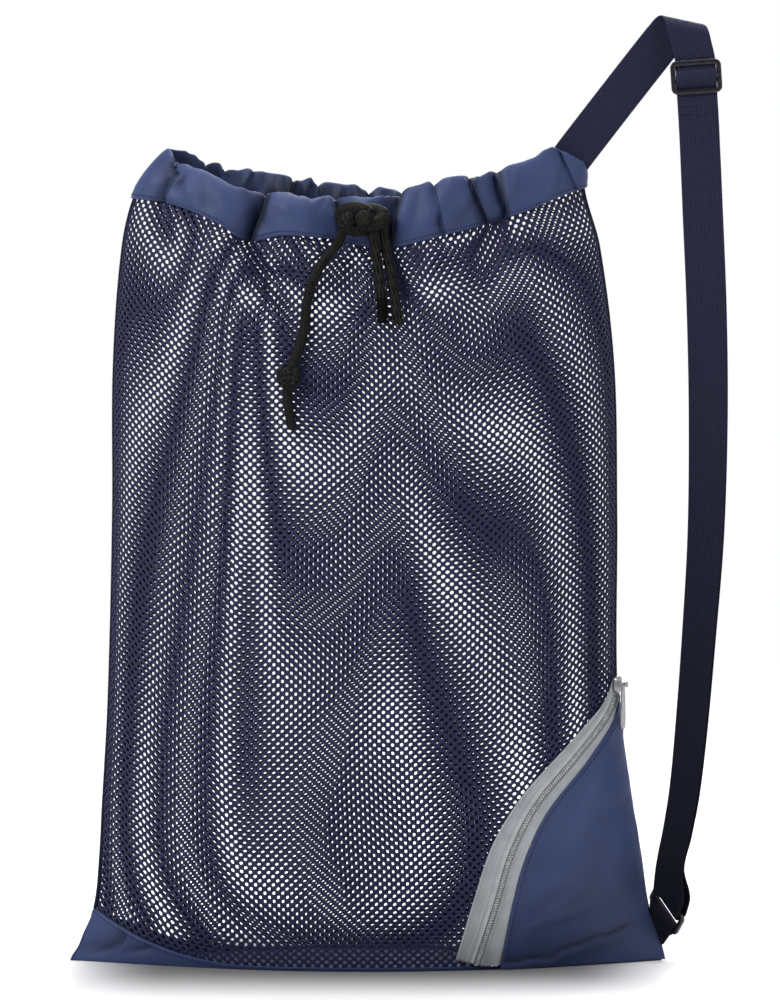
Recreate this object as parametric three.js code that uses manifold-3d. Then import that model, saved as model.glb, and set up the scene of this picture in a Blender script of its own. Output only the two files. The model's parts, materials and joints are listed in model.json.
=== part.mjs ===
// Mesh swim bag, standing filled out: two net panels sewn into a nylon base and a gathered nylon
// casing, a zipped corner pocket, a webbing shoulder strap and a knotted draw cord.
// Millimetres, +Z up, +Y away from the front. The origin is the middle of the base on the floor.

import * as THREE from 'three';
import { mergeVertices } from 'three/addons/utils/BufferGeometryUtils.js';
import Module from 'manifold-3d';

const wasm = await Module();
wasm.setup();

// Cloth and seams
const NET_WALL = 1.2;
const NYLON_WALL = 1.2;
const BASE_WALL = 1.8;
const SEAM_GAP = 0.3;
const SEAM_ANGLE = 0.03;
const SEAM_TUCK = 2;
const NET_IN_CASING = 7;
const BASE_SEAM_LOW = 3;
const BASE_SEAM_RISE = 38;
const BASE_SEAM_START = 0.388;
const BASE_SEAM_CURVE = 1.9;

// Zip and pocket
const OVERLAY_LIFT = 1.2;
const TAPE_THICKNESS = 1;
const COIL_WIDTH = 6.2;
const COIL_HEIGHT = 2.6;
const COIL_END_SHARE = 0.93;
const POCKET_TOP_SHARE = 0.95;

// Zip slider and pull
const SLIDER_X = 184.5;
const SLIDER_Z = 212;
const SLIDER_LIFT = 2.4;
const SLIDER_LENGTH = 12;
const SLIDER_WIDTH = 9;
const SLIDER_THICKNESS = 3.6;
const SLIDER_CORNER = 2.5;
const SLIDER_BEVEL = 0.5;
const PIN_LIFT = 3.2;
const PIN_RADIUS = 1;
const PIN_CLEARANCE = 0.35;
const LUG_THICKNESS = 1.6;
const LUG_LENGTH = 4;
const LUG_OVER_PIN = 2;
const LUG_INSIDE = 5;
const PULL_EYE_RADIUS = 2.3;
const PULL_EYE_WIDTH = 4.4;
const PULL_LENGTH = 34;
const PULL_THICKNESS = 1.4;
const PULL_WIDTH = 6.4;
const PULL_BEVEL = 0.3;

// Strap, slider, loop and tab
const WEBBING_WIDTH = 30;
const WEBBING_THICKNESS = 1.5;
const LAYER_SPREAD = 1.15;
const BAR_TURN_RADIUS = 3.4;
const BUCKLE_WIDTH = 38;
const BUCKLE_HEIGHT = 24;
const BUCKLE_CORNER = 4;
const BUCKLE_SIDE = 3.2;
const BUCKLE_BAR = 3;
const BUCKLE_BEVEL = 0.4;
const SLOT_CORNER = 1;
const SLIDER_DEPTH = 2.4;
const LOOP_DEPTH = 3.4;
const LOOP_BAR = 4;
const STRAP_SLIDER_CENTRE = { x: 245, y: -17, z: 667.5 };
const STRAP_SLIDER_TILT = THREE.MathUtils.degToRad(4);
const LOOP_CENTRE = new THREE.Vector3(226.5, -7.5, 41);
const LOOP_ALONG = new THREE.Vector3(0.5, -0.5, -0.7);
const LOOP_UP = new THREE.Vector3(0.25, -0.69, 0.675);
const TAB_Z = 26;
const TAB_GAP = 0.6;
const TAB_STRAIGHT = 2;
const TAB_WRAP_RADIUS = 3.8;
const TAB_WRAP_START = THREE.MathUtils.degToRad(45);
const TAB_WRAP_END = THREE.MathUtils.degToRad(290);
const STRAP_APPROACH = 6;
const FOLD_CENTRE = new THREE.Vector3(233.3, -5.9, 700.85);
const FOLD_RADIUS = 8.4;
const FOLD_SLOPE = THREE.MathUtils.degToRad(12);
const FOLD_SKEW = THREE.MathUtils.degToRad(25.5);
const STRAP_SLOT_CLEARANCE = 0.4;
const STRAP_SLOT_DEPTH = 14;

// Draw cord
const CORD_DIAMETER = 7.5;
const CORD_GAP = 0.3;

// Faceting
const CASING_STEPS = 64;
const PANEL_COLUMNS = CASING_STEPS / 2;
const PANEL_ROWS = 12;
const PANEL_ROW_CROWDING = 0.6;
const BASE_COLUMNS = 50;
const BASE_RIM_ROWS = 3;
const ZIP_STEPS = 22;
const POCKET_COLUMNS = 9;
const POCKET_ROWS = 11;
const TURN_STEPS = 6;
const CORNER_STEPS = 2;
const PIN_SIDES = 12;
const EYE_SIDES = 16;
const CORD_SIDES = 10;
const CORD_STEP = 12;
const CORD_MIN_STEPS = 4;
const KNOT_SIDES = 8;
const KNOT_STEPS = 12;
const CORE_SIDES = 10;
const CORE_ROWS = 6;

// The filled bag by height: side seams left and right, half depth front to back, and how pointed
// the section is at the seams, where 1 is an ellipse and more is a lens.
const BAG_PROFILE = [
  { z: 0, left: -223, right: 224, depth: 50, point: 2.3 },
  { z: 20, left: -215, right: 219, depth: 58, point: 2 },
  { z: 43, left: -206, right: 211, depth: 64, point: 1.75 },
  { z: 80, left: -202, right: 205.5, depth: 70, point: 1.5 },
  { z: 115, left: -200, right: 199.5, depth: 74, point: 1.38 },
  { z: 200, left: -195, right: 188.5, depth: 79, point: 1.28 },
  { z: 340, left: -191, right: 187.5, depth: 79, point: 1.22 },
  { z: 450, left: -190, right: 185, depth: 70, point: 1.18 },
  { z: 540, left: -183, right: 174, depth: 55, point: 1.1 },
  { z: 580, left: -173, right: 163, depth: 47, point: 1.05 },
  { z: 604, left: -157, right: 161, depth: 43, point: 1.05 },
  { z: 622, left: -143, right: 160, depth: 41, point: 1.05 },
];

// Top and lower edge of the casing. across is the share of the half width, from left to right.
const FRONT_CASING = [
  { across: -1, rim: 614, hem: 577 },
  { across: -0.8, rim: 604, hem: 573 },
  { across: -0.6, rim: 592, hem: 560 },
  { across: -0.46, rim: 586, hem: 546 },
  { across: -0.32, rim: 589, hem: 551 },
  { across: -0.12, rim: 580, hem: 548 },
  { across: 0.1, rim: 578, hem: 541 },
  { across: 0.3, rim: 584, hem: 549 },
  { across: 0.47, rim: 587, hem: 556 },
  { across: 0.63, rim: 593, hem: 563 },
  { across: 0.76, rim: 603, hem: 571 },
  { across: 0.88, rim: 614, hem: 579 },
  { across: 1, rim: 605, hem: 585 },
];
const BACK_CASING = [
  { across: -1, rim: 614, hem: 577 },
  { across: -0.7, rim: 600, hem: 566 },
  { across: -0.3, rim: 590, hem: 553 },
  { across: 0.05, rim: 584, hem: 546 },
  { across: 0.4, rim: 589, hem: 553 },
  { across: 0.75, rim: 603, hem: 570 },
  { across: 0.88, rim: 613, hem: 578 },
  { across: 1, rim: 605, hem: 585 },
];

// Gathers that run down from the casing into the net: where each starts, how deep it goes in
// (a puff between two gathers is negative), its half width, how far down it reaches and how much
// it leans to the right on the way.
const FOLD_TOP = 541;
const FRONT_FOLDS = [
  { x: -152, depth: 4, spread: 8, reach: 50, lean: 0.1 },
  { x: -118, depth: -3, spread: 16, reach: 70, lean: 0.7 },
  { x: -84, depth: 6, spread: 12, reach: 120, lean: 0.75 },
  { x: -54, depth: -4, spread: 15, reach: 80, lean: 0.5 },
  { x: -24, depth: 5, spread: 8, reach: 80, lean: 0.2 },
  { x: 18, depth: 5, spread: 8, reach: 90, lean: 0.3 },
  { x: 56, depth: -4, spread: 18, reach: 70, lean: 0.1 },
  { x: 98, depth: 6, spread: 9, reach: 80, lean: -0.25 },
  { x: 124, depth: -3, spread: 11, reach: 50, lean: 0 },
];
const BACK_FOLDS = [
  { x: -128, depth: 5, spread: 10, reach: 60, lean: 0.2 },
  { x: -96, depth: -3, spread: 14, reach: 60, lean: 0.2 },
  { x: -62, depth: 6, spread: 10, reach: 100, lean: 0.3 },
  { x: -8, depth: 5, spread: 11, reach: 80, lean: -0.1 },
  { x: 24, depth: -4, spread: 14, reach: 70, lean: -0.2 },
  { x: 58, depth: 6, spread: 10, reach: 100, lean: -0.4 },
  { x: 112, depth: 5, spread: 10, reach: 60, lean: -0.2 },
];

// Section of the casing, a folded hem: height share above the lower edge, and distance outside
// the net's face. Up the outside, over the fold, down the inside, and back round the tunnel.
const CASING_SECTION = [
  { share: 0, lift: 2.5 },
  { share: 0.3, lift: 4 },
  { share: 0.62, lift: 4.8 },
  { share: 0.9, lift: 3 },
  { share: 1, lift: -0.8 },
  { share: 0.9, lift: -4.7 },
  { share: 0.62, lift: -6.6 },
  { share: 0.3, lift: -5.4 },
  { share: 0, lift: -3.9 },
  { share: 0, lift: -2.6 },
  { share: 0.3, lift: -4.1 },
  { share: 0.62, lift: -5.3 },
  { share: 0.86, lift: -3.2 },
  { share: 0.94, lift: -0.8 },
  { share: 0.86, lift: 1.6 },
  { share: 0.62, lift: 3.5 },
  { share: 0.3, lift: 2.7 },
  { share: 0, lift: 1.3 },
];

// Section of the zip's coil, as shares of its half width and its height
const COIL_SECTION = [
  { across: -1, height: 0 },
  { across: -1, height: 0.55 },
  { across: -0.55, height: 1 },
  { across: 0.55, height: 1 },
  { across: 1, height: 0.55 },
  { across: 1, height: 0 },
];

// Middle of the zip as seen from the front, by the length run along it from the base seam, with
// the reach of the tape on the net's side and on the pocket's side.
const ZIP_PATH = [
  { run: 0, x: 83, z: 4.6, outer: 16.5, inner: 10.5 },
  { run: 49, x: 95, z: 53, outer: 17, inner: 12.5 },
  { run: 90, x: 108.5, z: 92, outer: 15.5, inner: 12.5 },
  { run: 129, x: 126, z: 127, outer: 12.5, inner: 11 },
  { run: 176, x: 155, z: 164, outer: 10.5, inner: 10.5 },
  { run: 214, x: 175, z: 196, outer: 9.5, inner: 9.5 },
  { run: 234, x: 183, z: 214, outer: 8, inner: 8 },
];

// Middle of the strap's single layer, from its sewn end up to its fold. tilt lowers the right edge
// and turn brings it to the front, in degrees.
const STRAP_TOP = [
  { x: 150.5, y: 0, z: 603.5, tilt: 36, turn: 0 },
  { x: 156, y: 0, z: 611, tilt: 36, turn: 0 },
  { x: 190, y: 1.5, z: 655, tilt: 37, turn: 0 },
  { x: 220, y: 2.5, z: 693.3, tilt: 37, turn: 0 },
];
// Weave of the strap through the slider: distance down from the middle bar, and distance behind it.
// The returned end comes up behind the weave and is sewn at the middle bar.
const STRAP_WEAVE = [
  { down: -14, behind: 2.7 },
  { down: -10.5, behind: 2.75 },
  { down: -8.6, behind: 2.45 },
  { down: -2.4, behind: -2.15 },
  { down: 0, behind: -2.4 },
  { down: 2.4, behind: -2.15 },
  { down: 8.6, behind: 2.45 },
  { down: 10.5, behind: 2.75 },
  { down: 14, behind: 2.7 },
];
const STRAP_RETURN = [
  { down: 14, behind: 5 },
  { down: 8.6, behind: 4.75 },
  { down: 3.5, behind: 3.25 },
  { down: 0, behind: 2.25 },
];
// Middle between the strap's two layers, from below the slider to the loop's upper bar
const STRAP_DROP = [
  { x: 247.5, y: -13.1, z: 630, tilt: -3, turn: 2 },
  { x: 250.5, y: -13, z: 569, tilt: -2, turn: 8 },
  { x: 254, y: -13.5, z: 490, tilt: -1, turn: 15 },
  { x: 255.4, y: -14, z: 411, tilt: 0, turn: 23 },
  { x: 254, y: -14.5, z: 325, tilt: 1, turn: 33 },
  { x: 249, y: -15, z: 246, tilt: 3, turn: 41 },
  { x: 244, y: -15.5, z: 181, tilt: 5, turn: 45 },
  { x: 239, y: -16, z: 132, tilt: 7, turn: 49 },
  { x: 233.6, y: -16.5, z: 100, tilt: 12, turn: 53 },
  { x: 228.6, y: -16.5, z: 74, tilt: 22, turn: 55 },
];

// Draw cord tails as seen from the front, each point with its distance from the net to the cord
const LEFT_TAIL = [
  { x: -15.5, z: 558, off: 9.5 },
  { x: -18, z: 552.5, off: 9.2 },
  { x: -21, z: 546, off: 8.5 },
  { x: -24.5, z: 541, off: 6.5 },
  { x: -28.5, z: 536.5, off: 3.5 },
  { x: -32, z: 532, off: 2.3 },
  { x: -35.2, z: 527, off: 1.7 },
  { x: -38, z: 521.5, off: 1.5 },
  { x: -40.5, z: 515, off: 1.5 },
  { x: -42.4, z: 508.5, off: 1.5 },
  { x: -43.8, z: 502, off: 1.5 },
  { x: -44.7, z: 495, off: 1.5 },
  { x: -45.4, z: 488, off: 1.5 },
  { x: -46.4, z: 481, off: 1.5 },
  { x: -48, z: 474, off: 1.7 },
  { x: -50.4, z: 467, off: 2.1 },
  { x: -53.2, z: 460.5, off: 2.9 },
  { x: -55, z: 454.5, off: 4.5 },
];
const LEFT_TAIL_END = [
  { x: -57.8, z: 441, off: 4.2 },
  { x: -58.2, z: 435.5, off: 2.7 },
  { x: -57.9, z: 429, off: 2.1 },
  { x: -57, z: 422, off: 1.7 },
  { x: -56, z: 415.5, off: 1.5 },
  { x: -54.9, z: 408.8, off: 1.5 },
];
const RIGHT_TAIL = [
  { x: 4.4, z: 556, off: 9.5 },
  { x: 5, z: 551.5, off: 8.4 },
  { x: 5.6, z: 547, off: 7 },
  { x: 6.4, z: 541, off: 4.6 },
  { x: 7.2, z: 535, off: 3.1 },
  { x: 8, z: 529, off: 2.3 },
  { x: 8.8, z: 523, off: 1.9 },
  { x: 9.6, z: 517, off: 1.7 },
  { x: 10.4, z: 511, off: 1.6 },
  { x: 11, z: 505, off: 1.5 },
  { x: 11.4, z: 499, off: 1.5 },
  { x: 11.6, z: 493, off: 1.5 },
  { x: 11.6, z: 487, off: 1.5 },
];
const SHORT_TAIL = [
  { x: 11.6, z: 559.5, off: 9.4 },
  { x: 12.3, z: 556, off: 9 },
  { x: 12.9, z: 551.5, off: 8.4 },
  { x: 13.7, z: 547, off: 7 },
  { x: 14.6, z: 541, off: 4.6 },
  { x: 15.6, z: 535, off: 3.1 },
  { x: 16.6, z: 529, off: 2.3 },
  { x: 17.6, z: 523, off: 1.9 },
  { x: 18.7, z: 517, off: 1.7 },
  { x: 19.8, z: 511, off: 1.6 },
  { x: 20.8, z: 505, off: 1.5 },
  { x: 21.8, z: 499, off: 1.5 },
  { x: 22.8, z: 492, off: 1.5 },
  { x: 23.6, z: 486, off: 1.5 },
];

// Knots: rounds of cord about a core, each with its place to the right, its height, the size of
// the round and how it is turned about the upright and about the line of sight, in degrees.
const DRAW_KNOT = {
  x: -5,
  z: 565.5,
  off: 3.9,
  core: { wide: 16, high: 8, deep: 6.5 },
  rounds: [
    { x: -10, z: 0.5, ring: 6.8, yaw: 28, roll: 12 },
    { x: 9.5, z: 0, ring: 7.4, yaw: -30, roll: -8 },
    { x: -0.5, z: -0.5, ring: 6.4, yaw: 78, roll: 10 },
  ],
};
const STOP_KNOT = {
  x: -56.5,
  z: 447.5,
  off: -0.3,
  core: { wide: 7, high: 6.5, deep: 5.5 },
  rounds: [
    { x: -1.5, z: 0, ring: 5.4, yaw: 24, roll: 30 },
    { x: 1.5, z: 0, ring: 5.4, yaw: -62, roll: 20 },
  ],
};

const FINISHES = {
  net: { color: 0x2e335c, roughness: 0.8 },
  nylon: { color: 0x444f80, roughness: 0.5 },
  tape: { color: 0xb9c3cd, roughness: 0.7 },
  coil: { color: 0x8c9196, roughness: 0.5 },
  metal: { color: 0xc4c6c8, roughness: 0.3, metalness: 1 },
  webbing: { color: 0x1e1f38, roughness: 0.75 },
  plastic: { color: 0x191826, roughness: 0.35 },
  cord: { color: 0x141414, roughness: 0.8 },
};

const FRONT = -1;
const BACK = 1;
const UP = new THREE.Vector3(0, 0, 1);

/** Value of one column of a table at a place between its rows, on a smooth curve. */
function along(rows, key, at, field) {
  const last = rows.length - 1;
  let low = 0;
  while (low < last - 1 && rows[low + 1][key] < at) {
    low += 1;
  }
  const slope = (row) => {
    const before = rows[Math.max(row - 1, 0)];
    const after = rows[Math.min(row + 1, last)];
    return (after[field] - before[field]) / (after[key] - before[key]);
  };
  const start = rows[low];
  const end = rows[low + 1];
  const span = end[key] - start[key];
  const t = THREE.MathUtils.clamp((at - start[key]) / span, 0, 1);
  const rise = THREE.MathUtils.smoothstep(t, 0, 1);
  const bend = slope(low) * t * (1 - t) * (1 - t) - slope(low + 1) * t * t * (1 - t);
  return start[field] + (end[field] - start[field]) * rise + bend * span;
}

/** Middle, half width, half depth and pointedness of the bag at a height. */
function sectionAt(z) {
  const left = along(BAG_PROFILE, 'z', z, 'left');
  const right = along(BAG_PROFILE, 'z', z, 'right');
  return {
    middle: (left + right) / 2,
    half: (right - left) / 2,
    depth: along(BAG_PROFILE, 'z', z, 'depth'),
    point: along(BAG_PROFILE, 'z', z, 'point'),
  };
}

/** How far the gathers push the cloth inwards at a place. */
function foldDepth(side, x, z) {
  const folds = side === FRONT ? FRONT_FOLDS : BACK_FOLDS;
  const drop = Math.max(0, FOLD_TOP - z);
  return folds.reduce((sum, fold) => {
    const offset = x - fold.x - fold.lean * drop;
    const spread = fold.spread * (1 + drop / fold.reach);
    const fade = Math.exp(-((drop / fold.reach) ** 2));
    return sum + fold.depth * fade * Math.exp(-((offset / spread) ** 2));
  }, 0);
}

/**
 * Point on the bag: angle 0 is the right seam and pi the left one, lift is outwards. An inner face
 * is drawn in more where the section is pointed, so that the wall closes at the seams.
 */
function onBag(side, angle, z, lift) {
  const { middle, half, depth, point } = sectionAt(z);
  const tuck = lift < 0 ? 1 + SEAM_TUCK * (point - 1) : 1;
  const x = middle + (half + lift * tuck) * Math.cos(angle);
  const bow = Math.abs(Math.sin(angle));
  const y = (depth + lift) * bow ** point - foldDepth(side, x, z) * bow;
  return new THREE.Vector3(x, side * y, z);
}

/** Angle at which the front shows a given x at a height. */
function angleAt(x, z) {
  const { middle, half } = sectionAt(z);
  const share = THREE.MathUtils.clamp((x - middle) / half, -1, 1);
  return Math.max(SEAM_ANGLE, Math.acos(share));
}

/** Height of the seam between base and net. */
function baseSeam(angle) {
  const share = Math.max(0, Math.abs(Math.cos(angle)) - BASE_SEAM_START) / (1 - BASE_SEAM_START);
  return BASE_SEAM_LOW + BASE_SEAM_RISE * share ** BASE_SEAM_CURVE;
}

/** Height on the casing, 0 at its lower edge and 1 at its rim. */
function casingHeight(side, angle, share) {
  const rows = side === FRONT ? FRONT_CASING : BACK_CASING;
  const across = Math.cos(angle);
  const hem = along(rows, 'across', across, 'hem');
  const rim = along(rows, 'across', across, 'rim');
  return THREE.MathUtils.lerp(hem, rim, share);
}

/** Side and angle of one step on the way round the bag, from the right seam over the front. */
function roundTheBag(step, steps) {
  const turn = (2 * Math.PI * step) / steps;
  return turn <= Math.PI ? [FRONT, turn] : [BACK, 2 * Math.PI - turn];
}

/** Closed geometry from points and triangles, turned so that its faces point outwards. */
function closedGeometry(points, triangles) {
  const volume = triangles.reduce((sum, [a, b, c]) => {
    const cross = new THREE.Vector3().crossVectors(points[b], points[c]);
    return sum + points[a].dot(cross);
  }, 0);
  const turned = volume < 0 ? triangles.map(([a, b, c]) => [a, c, b]) : triangles;
  const geometry = new THREE.BufferGeometry().setFromPoints(points);
  geometry.setIndex(turned.flat());
  geometry.computeVertexNormals();
  return geometry;
}

/** Wall between two grids of points, closed round its border; both faces are split the same way. */
function sheetSolid(outer, inner, splitsBack = () => false) {
  const rows = outer.length;
  const columns = outer[0].length;
  const points = [...outer.flat(), ...inner.flat()];
  const under = rows * columns;
  const at = (row, column) => row * columns + column;
  const triangles = [];
  const quad = (a, b, c, d) => triangles.push([a, b, c], [a, c, d]);
  for (let row = 0; row < rows - 1; row += 1) {
    for (let column = 0; column < columns - 1; column += 1) {
      const corners = [at(row, column), at(row, column + 1), at(row + 1, column + 1), at(row + 1, column)];
      const [a, b, c, d] = splitsBack(row) ? [...corners.slice(1), corners[0]] : corners;
      quad(a, b, c, d);
      quad(...[a, d, c, b].map((corner) => corner + under));
    }
  }
  const border = [];
  for (let column = 0; column < columns - 1; column += 1) {
    border.push(at(0, column));
  }
  for (let row = 0; row < rows - 1; row += 1) {
    border.push(at(row, columns - 1));
  }
  for (let column = columns - 1; column > 0; column -= 1) {
    border.push(at(rows - 1, column));
  }
  for (let row = rows - 1; row > 0; row -= 1) {
    border.push(at(row, 0));
  }
  border.forEach((start, index) => {
    const end = border[(index + 1) % border.length];
    quad(end, start, start + under, end + under);
  });
  return closedGeometry(points, triangles);
}

/** Solid through a row of like sections, joined end to end or capped. */
function sweptSolid(sections, joined) {
  const sides = sections[0].length;
  const points = sections.flat();
  const triangles = [];
  const steps = joined ? sections.length : sections.length - 1;
  for (let step = 0; step < steps; step += 1) {
    const here = step * sides;
    const next = ((step + 1) % sections.length) * sides;
    for (let side = 0; side < sides; side += 1) {
      const turn = (side + 1) % sides;
      triangles.push([here + side, here + turn, next + turn], [here + side, next + turn, next + side]);
    }
  }
  if (!joined) {
    const far = (sections.length - 1) * sides;
    for (let side = 1; side < sides - 1; side += 1) {
      triangles.push([0, side + 1, side], [far, far + side, far + side + 1]);
    }
  }
  return closedGeometry(points, triangles);
}

/** Solid for joining and cutting, from a closed geometry. */
function toSolid(geometry) {
  const bare = geometry.clone();
  bare.deleteAttribute('normal');
  bare.deleteAttribute('uv');
  const merged = mergeVertices(bare);
  return new wasm.Manifold(new wasm.Mesh({
    numProp: 3,
    vertProperties: new Float32Array(merged.attributes.position.array),
    triVerts: new Uint32Array(merged.index.array),
  }));
}

/** Geometry of a joined or cut solid. */
function toGeometry(solid) {
  const { vertProperties, triVerts } = solid.getMesh();
  const geometry = new THREE.BufferGeometry();
  geometry.setAttribute('position', new THREE.BufferAttribute(vertProperties, 3));
  geometry.setIndex(new THREE.BufferAttribute(triVerts, 1));
  geometry.computeVertexNormals();
  return geometry;
}

/** Regular outline of a round section. */
function roundShape(radius, sides) {
  const points = [];
  for (let side = 0; side < sides; side += 1) {
    const angle = (2 * Math.PI * side) / sides;
    points.push(new THREE.Vector2(radius * Math.cos(angle), radius * Math.sin(angle)));
  }
  return new THREE.Shape(points);
}

/** Rounded rectangle about the origin, as a shape or as a hole. */
function roundedRectangle(path, width, height, corner) {
  const x = width / 2;
  const y = height / 2;
  path.moveTo(-x + corner, -y);
  path.lineTo(x - corner, -y);
  path.absarc(x - corner, -y + corner, corner, -Math.PI / 2, 0);
  path.lineTo(x, y - corner);
  path.absarc(x - corner, y - corner, corner, 0, Math.PI / 2);
  path.lineTo(-x + corner, y);
  path.absarc(-x + corner, y - corner, corner, Math.PI / 2, Math.PI);
  path.lineTo(-x, -y + corner);
  path.absarc(-x + corner, -y + corner, corner, Math.PI, 1.5 * Math.PI);
  return path;
}

/** Plate with bevelled edges, centred on its thickness. */
function plate(shape, thickness, bevel) {
  const geometry = new THREE.ExtrudeGeometry(shape, {
    depth: thickness - 2 * bevel,
    bevelEnabled: bevel > 0,
    bevelThickness: bevel,
    bevelSize: bevel,
    bevelOffset: -bevel,
    bevelSegments: 1,
    curveSegments: CORNER_STEPS,
    steps: 1,
  });
  return geometry.translate(0, 0, bevel - thickness / 2);
}

/** Net of one side, from the base seam into the casing, with its gathers. */
function netPanel(side) {
  const wall = (lift) => {
    const grid = [];
    for (let row = 0; row <= PANEL_ROWS; row += 1) {
      const even = row / PANEL_ROWS;
      const crowded = THREE.MathUtils.smoothstep(even, 0, 1);
      const rise = THREE.MathUtils.lerp(even, crowded, PANEL_ROW_CROWDING);
      const line = [];
      for (let column = 0; column <= PANEL_COLUMNS; column += 1) {
        const angle = (Math.PI * column) / PANEL_COLUMNS;
        const low = baseSeam(angle) + SEAM_GAP;
        const high = casingHeight(side, angle, 0) + NET_IN_CASING;
        const point = onBag(side, angle, THREE.MathUtils.lerp(low, high, rise), lift);
        point.y += (side * SEAM_GAP) / 2;
        line.push(point);
      }
      grid.push(line);
    }
    return grid;
  };
  return sheetSolid(wall(0), wall(-NET_WALL));
}

/** Base with its turned-up rim: rings up the outside and down the inside, and a floor on each. */
function basePanel() {
  const points = [];
  const ring = (share, lift, floor) => {
    const start = points.length;
    for (let column = 0; column < BASE_COLUMNS; column += 1) {
      const [side, angle] = roundTheBag(column, BASE_COLUMNS);
      const z = THREE.MathUtils.lerp(floor, baseSeam(angle), share);
      points.push(onBag(side, angle, z, lift));
    }
    return start;
  };
  const rings = [];
  for (let row = 0; row <= BASE_RIM_ROWS; row += 1) {
    rings.push(ring(row / BASE_RIM_ROWS, 0, 0));
  }
  for (let row = BASE_RIM_ROWS; row >= 0; row -= 1) {
    rings.push(ring(row / BASE_RIM_ROWS, -BASE_WALL, BASE_WALL));
  }
  const triangles = [];
  for (let row = 0; row < rings.length - 1; row += 1) {
    for (let column = 0; column < BASE_COLUMNS; column += 1) {
      const next = (column + 1) % BASE_COLUMNS;
      const [low, high] = [rings[row], rings[row + 1]];
      triangles.push([low + column, low + next, high + next], [low + column, high + next, high + column]);
    }
  }
  const floor = (start, flip) => {
    const half = BASE_COLUMNS / 2;
    for (let column = 0; column < half; column += 1) {
      const front = start + column;
      const nextFront = front + 1;
      const back = start + ((BASE_COLUMNS - column) % BASE_COLUMNS);
      const nextBack = start + BASE_COLUMNS - column - 1;
      const faces = [[front, back, nextBack], [front, nextBack, nextFront]];
      faces
        .filter(([a, b, c]) => a !== b && b !== c && a !== c)
        .forEach(([a, b, c]) => triangles.push(flip ? [a, c, b] : [a, b, c]));
    }
  };
  floor(rings[0], false);
  floor(rings[rings.length - 1], true);
  return closedGeometry(points, triangles);
}

/** Direction across the strap at a row: the right edge goes down and to the front. */
function acrossStrap({ tilt, turn }) {
  const down = THREE.MathUtils.degToRad(tilt);
  const forward = THREE.MathUtils.degToRad(turn);
  return new THREE.Vector3(
    Math.cos(down) * Math.cos(forward),
    -Math.cos(down) * Math.sin(forward),
    -Math.sin(down),
  );
}

/** Direction in which a row of places runs on at one of them. */
function runAt(stations, index) {
  const before = stations[Math.max(index - 1, 0)].middle;
  const after = stations[Math.min(index + 1, stations.length - 1)].middle;
  return after.clone().sub(before).normalize();
}

/** The same places with their directions across made square to the run. */
function squared(stations) {
  return stations.map(({ middle, across }, index) => {
    const run = runAt(stations, index);
    return { middle, across: across.clone().addScaledVector(run, -across.dot(run)).normalize() };
  });
}

/**
 * Flat band through a row of places, each with its middle and its direction across.
 * It is split the same way going up and going down, so that twisted layers stay parallel.
 */
function band(stations) {
  const half = WEBBING_WIDTH / 2;
  const wall = (through) => stations.map(({ middle, across }, index) => {
    const face = new THREE.Vector3()
      .crossVectors(runAt(stations, index), across)
      .setLength((through * WEBBING_THICKNESS) / 2);
    return [-1, 1].map((sideways) => middle.clone().add(face).addScaledVector(across, sideways * half));
  });
  const rises = (row) => stations[row + 1].middle.z > stations[row].middle.z;
  return sheetSolid(wall(1), wall(-1), rises);
}

const loopAlong = LOOP_ALONG.clone().normalize();
const loopUp = LOOP_UP.clone().addScaledVector(loopAlong, -LOOP_UP.dot(loopAlong)).normalize();
const loopFace = new THREE.Vector3().crossVectors(loopAlong, loopUp);
const loopBarOffset = (BUCKLE_HEIGHT - LOOP_BAR) / 2;

/** Place of the webbing beside one bar of the loop: through the loop's face, and up along it. */
function besideBar(bar, through, upwards) {
  const middle = LOOP_CENTRE.clone()
    .addScaledVector(loopUp, bar * loopBarOffset + upwards)
    .addScaledVector(loopFace, through);
  return { middle, across: loopAlong };
}

/** Turn of webbing round one bar of the loop, from its face through the loop's hole. */
function barTurn(bar, radius, start, end) {
  return Array.from({ length: TURN_STEPS + 1 }, (_, step) => {
    const angle = THREE.MathUtils.lerp(start, end, step / TURN_STEPS);
    return besideBar(bar, radius * Math.cos(angle), -bar * radius * Math.sin(angle));
  });
}

/** Fold of the strap over its top: the webbing crosses the crease at a slant. */
function strapFold() {
  const along = new THREE.Vector3(Math.cos(FOLD_SLOPE), 0, -Math.sin(FOLD_SLOPE));
  const rise = new THREE.Vector3(Math.sin(FOLD_SLOPE), 0, Math.cos(FOLD_SLOPE));
  const across = along.clone().divideScalar(Math.cos(FOLD_SKEW));
  return Array.from({ length: TURN_STEPS + 1 }, (_, step) => {
    const angle = (Math.PI * step) / TURN_STEPS;
    const middle = FOLD_CENTRE.clone()
      .addScaledVector(along, FOLD_RADIUS * Math.tan(FOLD_SKEW) * (angle - Math.PI / 2))
      .addScaledVector(rise, FOLD_RADIUS * Math.sin(angle));
    middle.y += BACK * FOLD_RADIUS * Math.cos(angle);
    return { middle, across };
  });
}

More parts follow.
